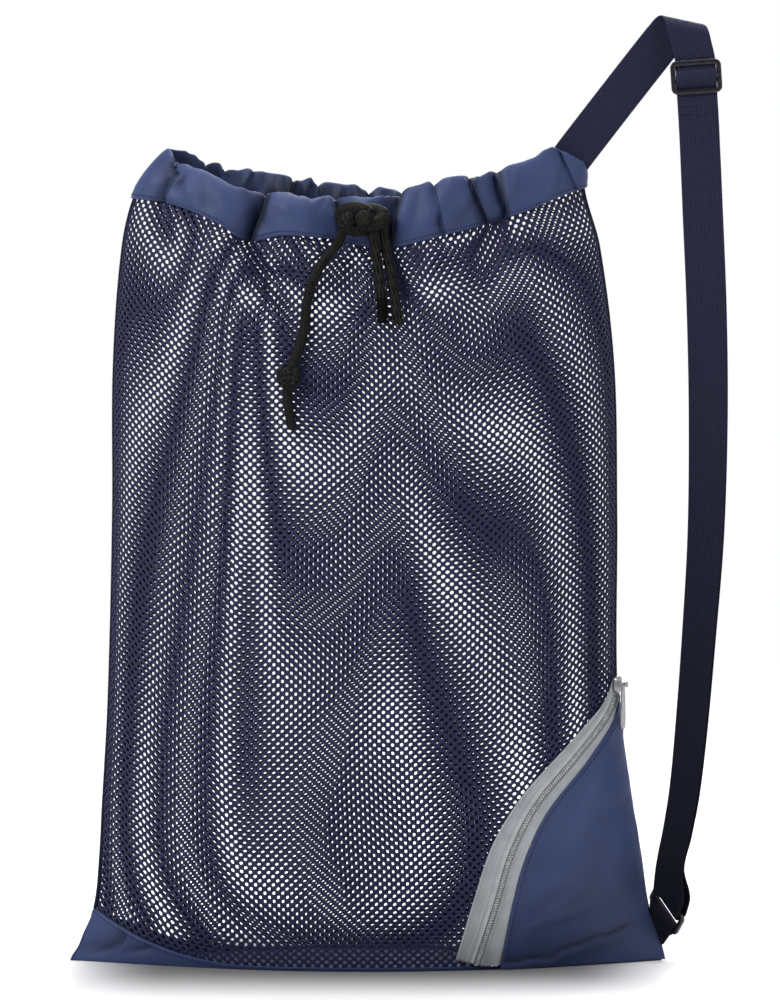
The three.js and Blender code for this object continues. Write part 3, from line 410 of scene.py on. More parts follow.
def column(rows: Sequence[NamedTuple], key: str, name: str, at: Array) -> Array:
    """One column of a table, read on a smooth curve at some places of another column."""
    keys, values = (np.array([getattr(row, part) for row in rows], dtype=float) for part in (key, name))
    return hermite(keys, values, np.asarray(at, dtype=float))


def mix(low: Array, high: Array, share: Array) -> Array:
    """Values between two others."""
    return low + (high - low) * share


def unit(vectors: Array) -> Array:
    """Vectors at length one."""
    return vectors / np.linalg.norm(vectors, axis=-1, keepdims=True)


def lengths(points: Array) -> Array:
    """Length run along a row of points, at each of them."""
    return np.concatenate([[0], np.cumsum(np.linalg.norm(np.diff(points, axis=0), axis=1))])


def smooth_path(points: Array, step: float) -> Array:
    """Even points along a smooth curve through a row of points, about a step apart."""
    keys = lengths(points)
    return hermite(keys, points, np.linspace(0, keys[-1], max(2, round(keys[-1] / step) + 1)))


@dataclass(frozen=True)
class BagForm:
    """Filled form of the bag, as its solids have it, with or without the cloth's creases."""

    creases: dict[Side, tuple[Crease, ...]] = field(default_factory=dict)
    crease_round: float = 0.2
    crease_flare: float = 2.0
    overlap: float = 0.6
    overlap_run: float = 8 * MM
    overlap_start: float = 1.5
    overlap_fade: float = 3.0
    seam_low: float = 0.003
    seam_rise: float = 0.038
    seam_start: float = 0.388
    seam_curve: float = 1.9
    seam_tuck: float = 2.0
    seam_angle: float = 0.03

    def section(self, z: Array) -> tuple[Array, Array, Array, Array]:
        """Middle, half width, half depth and pointedness of the section at some heights."""
        left, right, depth, point = (column(PROFILE, "z", name, z) for name in Level._fields[1:])
        return (left + right) / 2, (right - left) / 2, depth, point

    def fold_depth(self, side: Side, x: Array, z: Array) -> Array:
        """How far the gathers push the cloth inwards.

        Args:
            side: Side of the bag.
            x: Places to the right.
            z: Heights.

        Returns:
            Depths inwards.
        """
        drop = np.maximum(0.0, FOLD_TOP - z)
        total = np.zeros(np.broadcast(x, z).shape)
        for fold in FOLDS[side]:
            spread = fold.spread * (1 + drop / fold.reach)
            fade = np.exp(-((drop / fold.reach) ** 2))
            offset = x - fold.x - fold.lean * drop
            total += fold.depth * fade * np.exp(-((offset / spread) ** 2))
        for crease in self.creases.get(side, ()):
            total += self.crease_depth(crease, x, z)
        return total

    @staticmethod
    def crease_place(crease: Crease, x: Array, z: Array) -> tuple[Array, Array]:
        """Place beside a crease.

        Args:
            crease: The crease.
            x: Places to the right.
            z: Heights.

        Returns:
            Distances to the right of its line and below the casing.
        """
        drop = np.maximum(0.0, crease.hem_z - z)
        rise = np.maximum(0.0, z - crease.hem_z) / (crease.rim_z - crease.hem_z)
        return x - crease.hem_x - crease.lean * drop - (crease.rim_x - crease.hem_x) * rise, drop

    def crease_depth(self, crease: Crease, x: Array, z: Array) -> Array:
        """How far one crease pushes the cloth inwards.

        Args:
            crease: The crease.
            x: Places to the right.
            z: Heights.

        Returns:
            Depths inwards.
        """
        offset, drop = self.crease_place(crease, x, z)
        flank = np.where(offset < 0, crease.left, crease.right)
        flank = flank * (1 + self.crease_flare * drop / crease.reach)
        fade = np.exp(-((drop / crease.reach) ** 2))
        rounded = np.sqrt((offset / flank) ** 2 + self.crease_round ** 2) - self.crease_round
        return crease.depth * fade * np.exp(-rounded)

    def crease_lean(self, side: Side, x: Array, z: Array) -> Array:
        """How far the crisp flanks of the creases lean over their valleys, to the right.

        Args:
            side: Side of the bag.
            x: Places to the right.
            z: Heights.

        Returns:
            Shifts to the right.
        """
        total = np.zeros(np.broadcast(x, z).shape)
        for crease in self.creases.get(side, ()):
            offset, drop = self.crease_place(crease, x, z)
            sign = 1 if crease.right < crease.left else -1
            beyond = np.maximum(0.0, sign * offset)
            start = self.overlap_start * min(crease.left, crease.right)
            rise = 1 - np.exp(-((beyond / start) ** 2))
            fade = np.exp(-((self.overlap_fade * drop / crease.reach) ** 2) - beyond / self.overlap_run)
            total -= sign * crease.depth * self.overlap * rise * fade
        return total

    def points(self, side: Side, angle: Array, z: Array, lift: Array) -> Array:
        """Points on the bag.

        Args:
            side: Side of the bag.
            angle: 0 at the right seam and pi at the left one.
            z: Heights.
            lift: Distances outside the net's face.

        Returns:
            Points, with x, y and z last.
        """
        middle, half, depth, point = self.section(z)
        tuck = np.where(np.asarray(lift) < 0, 1 + self.seam_tuck * (point - 1), 1)
        x = middle + (half + lift * tuck) * np.cos(angle)
        bow = np.abs(np.sin(angle))
        y = side.value * ((depth + lift) * bow ** point - self.fold_depth(side, x, z) * bow)
        shifted = x + self.crease_lean(side, x, z) * bow
        return np.stack(np.broadcast_arrays(shifted, y, z), axis=-1)

    def angle_at(self, x: Array, z: Array) -> Array:
        """Angle at which the front shows a given x at a height."""
        middle, half, _, _ = self.section(z)
        return np.maximum(self.seam_angle, np.arccos(np.clip((x - middle) / half, -1, 1)))

    def base_seam(self, angle: Array) -> Array:
        """Height of the seam between base and net."""
        share = np.maximum(0, np.abs(np.cos(angle)) - self.seam_start) / (1 - self.seam_start)
        return self.seam_low + self.seam_rise * share ** self.seam_curve

    def casing_height(self, side: Side, angle: Array, share: Array) -> Array:
        """Height on the casing, 0 at its lower edge and 1 at its rim."""
        low, high = (column(CASING_EDGES[side], "across", edge, np.cos(angle)) for edge in ("hem", "rim"))
        return mix(low, high, share)

    def cord_points(self, rows: Sequence[CordRow], diameter: float) -> Array:
        """Middle of a cord that lies on the front.

        Args:
            rows: The cord's table.
            diameter: Thickness of the cord.

        Returns:
            Its points.
        """
        x, z, off = (np.array(values) for values in zip(*rows))
        points = self.points(Side.FRONT, self.angle_at(x, z), z, np.zeros(len(rows)))
        points[:, 1] -= off + diameter / 2
        return points


def add_piece(name: str, mesh: bpy.types.Mesh) -> Piece:
    """Put a mesh in the scene as an object at the origin.

    Args:
        name: Name of the object.
        mesh: Its mesh.

    Returns:
        The object.
    """
    piece = bpy.data.objects.new(name, mesh)
    bpy.context.scene.collection.objects.link(piece)
    return piece


def mesh_piece(
    name: str, points: Array, faces: Faces, material: Material,
    uv: Array | None = None, mark: Array | None = None,
) -> Piece:
    """Smooth piece from points and faces, with doubled points merged.

    Args:
        name: Name of the piece.
        points: Its points.
        faces: Its faces.
        material: Its finish.
        uv: Place of each point in the finish's pattern.
        mark: Weight of each point for the finish, 0 to 1.

    Returns:
        The piece.
    """
    mesh = bpy.data.meshes.new(name)
    mesh.from_pydata(np.reshape(points, (-1, 3)).tolist(), [], [list(face) for face in faces])
    if uv is not None:
        layer = mesh.uv_layers.new(name="pattern")
        corners = np.zeros(len(mesh.loops), dtype=np.int32)
        mesh.loops.foreach_get("vertex_index", corners)
        layer.data.foreach_set("uv", np.reshape(uv, (-1, 2))[corners].ravel())
    if mark is not None:
        mesh.attributes.new("mark", "FLOAT", "POINT").data.foreach_set("value", np.ravel(mark))
    work = bmesh.new()
    work.from_mesh(mesh)
    bmesh.ops.remove_doubles(work, verts=work.verts, dist=DOUBLED)
    bmesh.ops.recalc_face_normals(work, faces=work.faces)
    work.to_mesh(mesh)
    work.free()
    mesh.shade_smooth()
    mesh.materials.append(material)
    return add_piece(name, mesh)


def grid_faces(rows: int, columns: int, closed: bool = False, looped: bool = False) -> Faces:
    """Faces of a grid of points.

    Args:
        rows: Rows of points.
        columns: Points in a row.
        closed: Whether each row joins its own start.
        looped: Whether the last row joins the first.

    Returns:
        Faces as point numbers.
    """
    faces = []
    for row in range(rows if looped else rows - 1):
        low = row * columns
        high = (row + 1) % rows * columns
        for place in range(columns if closed else columns - 1):
            beside = (place + 1) % columns
            faces.append((low + place, low + beside, high + beside, high + place))
    return faces


def end_faces(rows: int, sides: int) -> Faces:
    """Faces that close both ends of a tube."""
    return [tuple(range(sides))[::-1], tuple(range((rows - 1) * sides, rows * sides))]


def joined(parts: Sequence[Solid]) -> Solid:
    """Some parts as one.

    Args:
        parts: Points and faces of each.

    Returns:
        Points and faces of all.
    """
    faces: Faces = []
    start = 0
    for points, own in parts:
        faces += [tuple(number + start for number in face) for face in own]
        start += len(points)
    return np.concatenate([points for points, _ in parts]), faces


def thicken(piece: Piece, thickness: float) -> None:
    """Give a sheet its thickness, inwards."""
    piece.modifiers.new("wall", "SOLIDIFY").thickness = thickness


def face_outwards(piece: Piece, outwards: Vector, sample: int) -> None:
    """Turn a sheet's faces over if a sample face points the wrong way."""
    if piece.data.polygons[sample].normal.dot(outwards) < 0:
        piece.data.flip_normals()


@dataclass(frozen=True)
class Cut:
    """Cloth before it was sewn: flat size, share of that rectangle, how it is held and on what."""

    width: float
    length: float
    held: Hold
    rests_on: tuple[str, ...]
    share: float = 1.0

    def declare(self, piece: Piece) -> None:
        """Take a piece that is a sheet of this cut; nothing is done with it."""


def enlist(
    piece: Piece, replaced: Sequence[str] = (), body: Body = Body.BAG, cut: Cut | None = None
) -> Piece:
    """Put a finished piece on its body.

    Args:
        piece: The piece.
        replaced: Solids of the frame that it stands for.
        body: Body that it rides on.
        cut: Its cloth before it was sewn, for a sheet.

    Returns:
        The piece.
    """
    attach(piece, body.value)
    if replaced:
        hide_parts(*replaced)
    if cut:
        cut.declare(piece)
    LOG.info("%s: %d faces", piece.name, len(piece.data.polygons))
    return piece


class Gloss(NamedTuple):
    """Shine of a finish: mirrored light, and the weight, roughness and tint of its sheen."""

    specular: float = 0.5
    sheen: float = 0.0
    rough: float = 0.5
    tint: Colour = (1.0, 1.0, 1.0)


class Grain(NamedTuple):
    """Soft noise: size of its lumps, how many finer layers it has, and its height on a surface."""

    size: float
    detail: float = 2.0
    height: float = 0.0


WAVE_SCALE = 2 * math.pi / 20
WHOLE = (0.0, 1.0)
MIDDLE = (0.3, 0.7)


class Tree:
    """Node tree with short calls for new nodes."""

    def __init__(self, tree: bpy.types.NodeTree) -> None:
        """Take hold of a tree."""
        self.tree = tree

    def feed(self, socket: Socket, value: object) -> None:
        """Give a socket its value.

        Args:
            socket: The socket.
            value: A constant, or another socket to join it to.
        """
        if isinstance(value, Socket):
            self.tree.links.new(value, socket)
        else:
            socket.default_value = value

    def node(self, kind: str, settings: dict[str, str] | None = None, **values: object) -> bpy.types.Node:
        """New node with its settings and inputs.

        Args:
            kind: The node's type.
            settings: Options of the node.
            values: Inputs by name with _ for a space, each a constant or a socket.

        Returns:
            The node.
        """
        node = self.tree.nodes.new(kind)
        for name, value in (settings or {}).items():
            setattr(node, name, value)
        for name, value in values.items():
            self.feed(next(s for s in node.inputs if s.name == name.replace("_", " ") and s.enabled), value)
        return node

    def math(self, operation: str, first: object, second: object) -> Socket:
        """Result of a sum on two values.

        Args:
            operation: Kind of sum.
            first: Socket or constant.
            second: Socket or constant.

        Returns:
            The result.
        """
        node = self.node("ShaderNodeMath", {"operation": operation})
        self.feed(node.inputs[0], first)
        self.feed(node.inputs[1], second)
        return node.outputs[0]


class Shader(Tree):
    """Node tree of one material, with short calls for what the finishes share."""

    def __init__(self, name: str, colour: Colour, roughness: float, gloss: Gloss = Gloss()) -> None:
        """Start a material.

        Args:
            name: Name of the finish.
            colour: Its colour, linear.
            roughness: Its roughness.
            gloss: Its shine.
        """
        self.colour = colour
        self.roughness = roughness
        self.material = bpy.data.materials.new(name)
        self.material.use_nodes = True
        super().__init__(self.material.node_tree)
        self.surface = self.tree.nodes["Principled BSDF"]
        self.place = self.tree.nodes.new("ShaderNodeTexCoord").outputs
        constants = {
            "Base Color": (*colour, 1),
            "Roughness": roughness,
            "Specular IOR Level": gloss.specular,
            "Sheen Weight": gloss.sheen,
            "Sheen Roughness": gloss.rough,
            "Sheen Tint": (*gloss.tint, 1),
        }
        for label, value in constants.items():
            self.feed(self.surface.inputs[label], value)

    def noise(self, grain: Grain) -> Socket:
        """Noise of a grain, 0 to 1."""
        sizes = {"Scale": 1 / grain.size, "Detail": grain.detail}
        return self.node("ShaderNodeTexNoise", Vector=self.place["Object"], **sizes).outputs["Fac"]

    def raised(self, grain: Grain) -> tuple[Socket, float]:
        """Noise of a grain, with its height."""
        return self.noise(grain), grain.height

    def wave(self, place: Socket, axis: str, pitch: float) -> Socket:
        """Even ribs that follow one another along an axis of some coordinates, 0 to 1 high."""
        kind = {"wave_type": "BANDS", "bands_direction": axis}
        return self.node("ShaderNodeTexWave", kind, Vector=place, Scale=WAVE_SCALE / pitch).outputs["Fac"]

    def axis(self, name: str) -> Socket:
        """Place along one axis."""
        return self.node("ShaderNodeSeparateXYZ", Vector=self.place["Object"]).outputs[name]

    def mark(self) -> Socket:
        """Weight that the piece's points carry, 0 where they carry none; the finishes paint shade and
        highlights by it.
        """
        return self.node("ShaderNodeAttribute", {"attribute_name": "mark"}).outputs["Fac"]

    def clouded(self, clouds: Grain, depth: float) -> Socket:
        """Tone of cloth that clouds lower to some depth, with painted shade where its points carry a mark,
        and painted light where the mark is below nought.
        """
        cloud = self.math("ADD", self.math("MULTIPLY", self.noise(clouds), depth), 1 - depth)
        return self.math("MULTIPLY", cloud, self.math("SUBTRACT", 1.0, self.mark()))

    def shade(self, fac: Socket, tones: Span, ends: Span = MIDDLE) -> None:
        """Vary how light the colour is.

        Args:
            fac: What the lightness follows.
            tones: Shares of the colour at its low and its high end.
            ends: Where these ends are.
        """
        ramp = self.node("ShaderNodeValToRGB", Fac=fac)
        for stop, tone, place in zip(ramp.color_ramp.elements, tones, ends):
            stop.position = place
            stop.color = (*(tone * value for value in self.colour), 1)
        self.tree.links.new(ramp.outputs["Color"], self.surface.inputs["Base Color"])

    def roughen(self, grain: Grain, uneven: Span) -> None:
        """Vary the roughness.

        Args:
            grain: Grain that it follows.
            uneven: How far it goes below and above the plain roughness.
        """
        low, high = (self.roughness + step for step in uneven)
        span = self.node("ShaderNodeMapRange", Value=self.noise(grain), To_Min=low, To_Max=high)
        self.tree.links.new(span.outputs["Result"], self.surface.inputs["Roughness"])

    def relief(self, *heights: tuple[Socket, float]) -> None:
        """Raise the surface by some patterns.

        Args:
            heights: Pairs of a pattern and its height.
        """
        target = self.surface.inputs["Normal"]
        for pattern, height in reversed(heights):
            bump = self.node("ShaderNodeBump", Height=pattern, Distance=height, Strength=1.0)
            self.tree.links.new(bump.outputs["Normal"], target)
            target = bump.inputs["Normal"]


@dataclass(frozen=True)
class Nylon:
    """Thin satin nylon, lightly crumpled."""

    colour: Colour = (0.0288, 0.0437, 0.1135)
    roughness: float = 0.5
    gloss: Gloss = Gloss(0.2, 0.12, 0.35, (0.4, 0.5, 0.9))
    clouds: Grain = Grain(30 * MM, 4)
    cloud: float = 0.3
    # Tones of the full painted shade and of the plain cloth.
    tones: Span = (0.14, 1.18)
    patches: Grain = Grain(6 * MM)
    uneven: Span = (-0.06, 0.08)
    crumple: Grain = Grain(9 * MM, 3, 0.5 * MM)
    pucker: Grain = Grain(2.5 * MM, height=0.06 * MM)
    thread: float = 0.5 * MM
    thread_height: float = 0.03 * MM

    def material(self) -> Material:
        """Make the finish.

        Returns:
            Its material.
        """
        shader = Shader("satin_nylon", self.colour, self.roughness, self.gloss)
        # Painted shade on the marked points of the creases, folds and dents.
        shader.shade(shader.clouded(self.clouds, self.cloud), self.tones, WHOLE)
        shader.roughen(self.patches, self.uneven)
        place = shader.place["Object"]
        warp, weft = (shader.wave(place, axis, self.thread) for axis in "XZ")
        weave = shader.math("MULTIPLY", warp, weft)
        shader.relief(shader.raised(self.crumple), shader.raised(self.pucker), (weave, self.thread_height))
        return shader.material


@dataclass(frozen=True)
class Webbing:
    """Woven strap, with ribs along it and cross threads, on a pattern of its own length, and a painted shade
    that darkens it towards the floor.
    """

    colour: Colour = (0.0108, 0.0114, 0.0255)
    roughness: float = 0.62
    gloss: Gloss = Gloss(0.06, 0.03, 0.4, (0.4, 0.45, 0.9))
    width: float = 30 * MM
    rib: float = 2 * MM
    rib_height: float = 0.18 * MM
    pick: float = 1.7 * MM
    pick_height: float = 0.1 * MM
    between: float = 0.5
    tones: Span = (0.08, 2.0)
    # Share of the colour left by the painted shade near the floor, and the heights where it is full and
    # where it ends.
    dark: float = 0.16
    painted_shade_full_below: float = 0.06
    painted_shade_gone_above: float = 0.6
    grain: Grain = Grain(0.6 * MM, height=0.05 * MM)

    def material(self) -> Material:
        """Make the finish.

        Returns:
            Its material.
        """
        shader = Shader("ribbed_webbing", self.colour, self.roughness, self.gloss)
        place = shader.place["UV"]
        ribs = shader.wave(place, "X", self.rib / self.width)
        picks = shader.wave(place, "Y", self.pick / self.width)
        weave = shader.math("ADD", shader.math("MULTIPLY", ribs, picks), self.between)
        # Painted shade: the strap grows darker towards the floor.
        reach = {"From_Min": self.painted_shade_full_below, "From_Max": self.painted_shade_gone_above, "To_Min": self.dark}
        painted_shading = shader.node("ShaderNodeMapRange", Value=shader.axis("Z"), **reach)
        shader.shade(shader.math("MULTIPLY", weave, painted_shading.outputs["Result"]), self.tones, WHOLE)
        shader.relief((ribs, self.rib_height), (picks, self.pick_height), shader.raised(self.grain))
        return shader.material


@dataclass(frozen=True)
class ZipTape:
    """Pale woven zip tape with a soft shine."""

    colour: Colour = (0.305, 0.325, 0.345)
    roughness: float = 0.5
    gloss: Gloss = Gloss(sheen=0.1, rough=0.4)
    clouds: Grain = Grain(12 * MM, 4)
    cloud: float = 0.45
    tones: Span = (0.1, 1.3)
    lumps: Grain = Grain(8 * MM, height=0.3 * MM)
    thread: float = 0.9 * MM
    thread_height: float = 0.05 * MM

    def material(self) -> Material:
        """Make the finish.

        Returns:
            Its material.
        """
        shader = Shader("zip_tape", self.colour, self.roughness, self.gloss)
        # Painted shade where the tape's points are marked, along the channel beside the teeth.
        shader.shade(shader.clouded(self.clouds, self.cloud), self.tones, WHOLE)
        twill = shader.wave(shader.place["Object"], "DIAGONAL", self.thread)
        shader.relief(shader.raised(self.lumps), (twill, self.thread_height))
        return shader.material


@dataclass(frozen=True)
class BraidYarn:
    """Black polyester yarn of the braided cord, with painted highlights on the ridges of its strands."""

    colour: Colour = (0.0018, 0.0018, 0.0016)
    roughness: float = 0.6
    gloss: Gloss = Gloss(0.06)
    highlight_grain: Grain = Grain(0.8 * MM, 3)
    tones: Span = (0.3, 12.0)
    ends: Span = (0.25, 0.6)
    grain: Grain = Grain(0.35 * MM, height=0.08 * MM)

    def material(self) -> Material:
        """Make the finish.

        Returns:
            Its material.
        """
        shader = Shader("braided_cord", self.colour, self.roughness, self.gloss)
        # Painted highlights on the marked ridges of the strands and painted shade in the grooves, broken up
        # by noise.
        painted_shading = shader.math("MULTIPLY", shader.mark(), shader.noise(self.highlight_grain))
        shader.shade(painted_shading, self.tones, self.ends)
        shader.relief(shader.raised(self.grain))
        return shader.material


@dataclass(frozen=True)
class Mottled:
    """Finish with soft lumps of colour, a fine grain and, where given, an uneven polish."""

    name: str
    colour: Colour
    roughness: float = 0.6
    gloss: Gloss = Gloss()
    lumps: Grain = Grain(1.5 * MM, 3)
    tones: Span = (0.7, 1.3)
    grain: Grain = Grain(0.5 * MM, 3, 0.15 * MM)
    patches: Grain | None = None
    uneven: Span = (0.0, 0.0)
    metallic: float = 0.0

    def material(self) -> Material:
        """Make the finish.

        Returns:
            Its material.
        """
        shader = Shader(self.name, self.colour, self.roughness, self.gloss)
        shader.surface.inputs["Metallic"].default_value = self.metallic
        shader.shade(shader.noise(self.lumps), self.tones)
        if self.patches:
            shader.roughen(self.patches, self.uneven)
        shader.relief(shader.raised(self.grain))
        return shader.material


@dataclass(frozen=True)
class NetYarn(Mottled):
    """Knitted polyester yarn of the net."""

    name: str = "net_yarn"
    colour: Colour = (0.0108, 0.0133, 0.045)
    roughness: float = 0.55
    gloss: Gloss = Gloss(0.2, 0.05, 0.4, (0.5, 0.55, 0.9))


@dataclass(frozen=True)
class Moulded(Mottled):
    """Moulded plastic with a fine grain."""

    roughness: float = 0.32
    lumps: Grain = Grain(5 * MM, 3)
    tones: Span = (0.8, 1.25)
    grain: Grain = Grain(0.4 * MM, height=0.015 * MM)
    patches: Grain | None = Grain(1.2 * MM, 3)
    uneven: Span = (-0.07, 0.1)


@dataclass(frozen=True)
class Plated(Mottled):
    """Bright plated zinc with fine rubbing marks."""

    name: str = "plated_zinc"
    colour: Colour = (0.3, 0.305, 0.315)
    roughness: float = 0.3
    lumps: Grain = Grain(3 * MM, 4)
    tones: Span = (0.85, 1.1)
    grain: Grain = Grain(0.5 * MM, 3, 0.01 * MM)
    patches: Grain | None = Grain(1 * MM, 4)
    uneven: Span = (-0.08, 0.12)
    metallic: float = 1.0


@dataclass(frozen=True)
class Thread(Mottled):
    """Sewing thread."""

    gloss: Gloss = Gloss(0.12)
    lumps: Grain = Grain(0.7 * MM)
    grain: Grain = Grain(0.2 * MM, height=0.05 * MM)


@dataclass
class Finishes:
    """Every finish of the bag as a material."""

    nylon: Material = field(default_factory=Nylon().material)
    net: Material = field(default_factory=NetYarn().material)
    webbing: Material = field(default_factory=Webbing().material)
    tape: Material = field(default_factory=ZipTape().material)
    teeth: Material = field(default_factory=Moulded("zip_coil", (0.4, 0.41, 0.42), 0.4).material)
    buckle: Material = field(default_factory=Moulded("moulded_buckle", (0.0045, 0.0045, 0.009)).material)
    metal: Material = field(default_factory=Plated().material)
    cord: Material = field(default_factory=BraidYarn().material)
    thread: Material = field(default_factory=Thread("navy_thread", (0.01, 0.014, 0.045)).material)
    pale_thread: Material = field(default_factory=Thread("grey_thread", (0.22, 0.24, 0.265)).material)
    dark_thread: Material = field(default_factory=Thread("dark_thread", (0.0055, 0.006, 0.017)).material)


class NodeTree(Tree):
    """Geometry node tree with named sizes."""

    def __init__(self, name: str, sizes: dict[str, float]) -> None:
        """Start a tree with one geometry in and one out, and an input for each size.

        Args:
            name: Name of the tree.
            sizes: The sizes by name.
        """
        super().__init__(bpy.data.node_groups.new(name, "GeometryNodeTree"))
        face = self.tree.interface
        for way in ("INPUT", "OUTPUT"):
            face.new_socket("Geometry", in_out=way, socket_type="NodeSocketGeometry")
        self.values = {
            face.new_socket(label, in_out="INPUT", socket_type="NodeSocketFloat").identifier: size
            for label, size in sizes.items()
        }
        inputs = self.tree.nodes.new("NodeGroupInput").outputs
        self.base = inputs["Geometry"]
        self.sizes = [inputs[label] for label in sizes]
        self.end = self.tree.nodes.new("NodeGroupOutput")

    def close(self, geometry: Socket, material: Material) -> None:
        """End the tree with real geometry and its finish.

        Args:
            geometry: What the tree made.
            material: Its finish.
        """
        real = self.node("GeometryNodeRealizeInstances", Geometry=geometry)
        dressed = self.node("GeometryNodeSetMaterial", Geometry=real.outputs["Geometry"], Material=material)
        self.tree.links.new(dressed.outputs["Geometry"], self.end.inputs[0])

    def applied(self, base: Piece, name: str) -> Piece:
        """Run the tree on a base and keep the result as a plain piece.

        Args:
            base: Object that the tree reads, which is removed.
            name: Name of the piece.

        Returns:
            The piece.
        """
        modifier = base.modifiers.new(name, "NODES")
        modifier.node_group = self.tree
        for identifier, value in self.values.items():
            modifier[identifier] = value
        ready = base.evaluated_get(bpy.context.evaluated_depsgraph_get())
        mesh = bpy.data.meshes.new_from_object(ready)
        mesh.name = name
        base.modifiers.remove(modifier)
        bpy.data.objects.remove(base)
        return add_piece(name, mesh)


@dataclass(frozen=True)
class BeadRow:
    """Row of small rounded beads along a line: stitches, or the teeth of a zip."""

    pitch: float
    length: float
    width: float
    height: float
    sides: int = 6
    rings: int = 4

    def tree(self, material: Material) -> NodeTree:
        """Tree that sets beads along a line, turned to the line and to its outward direction.

        Args:
            material: The beads' finish.

        Returns:
            The tree.
        """
        sizes = {"Pitch": self.pitch, "Length": self.length, "Width": self.width, "Height": self.height}
        made = NodeTree("beads_along_a_line", sizes)
        pitch, length, width, height = made.sizes
        curve = made.node("GeometryNodeMeshToCurve", Mesh=made.base).outputs["Curve"]
        even = made.node("GeometryNodeResampleCurve", {"mode": "LENGTH"}, Curve=curve, Length=pitch)
        ball = made.node("GeometryNodeMeshUVSphere", Segments=self.sides, Rings=self.rings, Radius=0.5)
        shape = made.node("ShaderNodeCombineXYZ", X=length, Y=width, Z=height).outputs["Vector"]
        bead = made.node("GeometryNodeTransform", Geometry=ball.outputs["Mesh"], Scale=shape)
        kind = {"data_type": "FLOAT_VECTOR"}
        outwards = made.node("GeometryNodeInputNamedAttribute", kind, Name="outwards")
        direction = next(s for s in outwards.outputs if s.name == "Attribute" and s.enabled)
        upright = made.node("FunctionNodeAlignRotationToVector", {"axis": "Z"}, Vector=direction)
        tangent = made.node("GeometryNodeInputTangent").outputs["Tangent"]
        start = {"Rotation": upright.outputs["Rotation"], "Vector": tangent}
        axes = {"axis": "X", "pivot_axis": "Z"}
        turned = made.node("FunctionNodeAlignRotationToVector", axes, **start).outputs["Rotation"]
        row = {"Points": even.outputs["Curve"], "Instance": bead.outputs["Geometry"]}
        beads = made.node("GeometryNodeInstanceOnPoints", **row, Rotation=turned)
        made.close(beads.outputs["Instances"], material)
        return made

    def build(self, name: str, lines: Sequence[Line], material: Material) -> Piece:
        """Set beads along some lines.

        Args:
            name: Name of the piece.
            lines: Pairs of a line's points and its outward directions.
            material: The beads' finish.

        Returns:
            The piece.
        """
        points = np.concatenate([line for line, _ in lines])
        outwards = np.concatenate([direction for _, direction in lines])
        starts = np.cumsum([0] + [len(line) for line, _ in lines])
        edges = [(at, at + 1) for low, high in zip(starts, starts[1:]) for at in range(low, high - 1)]
        mesh = bpy.data.meshes.new(name)
        mesh.from_pydata(points.tolist(), edges, [])
        kept = mesh.attributes.new("outwards", "FLOAT_VECTOR", "POINT")
        kept.data.foreach_set("vector", outwards.astype(np.float32).ravel())
        piece = self.tree(material).applied(add_piece(name + "_line", mesh), name)
        piece.data.shade_smooth()
        return piece


STITCH = BeadRow(pitch=3.2 * MM, length=2.6 * MM, width=0.7 * MM, height=0.55 * MM)
OUTWARD_STEP = 2 * MM


def sewn_line(form: BagForm, side: Side, angle: Array, z: Array, lift: float) -> Line:
    """Line on the bag's cloth at a distance from the net, with its outward directions."""
    low, high, line = (form.points(side, angle, z, np.full_like(z, off)) for off in (0, OUTWARD_STEP, lift))
    return line, unit(high - low)


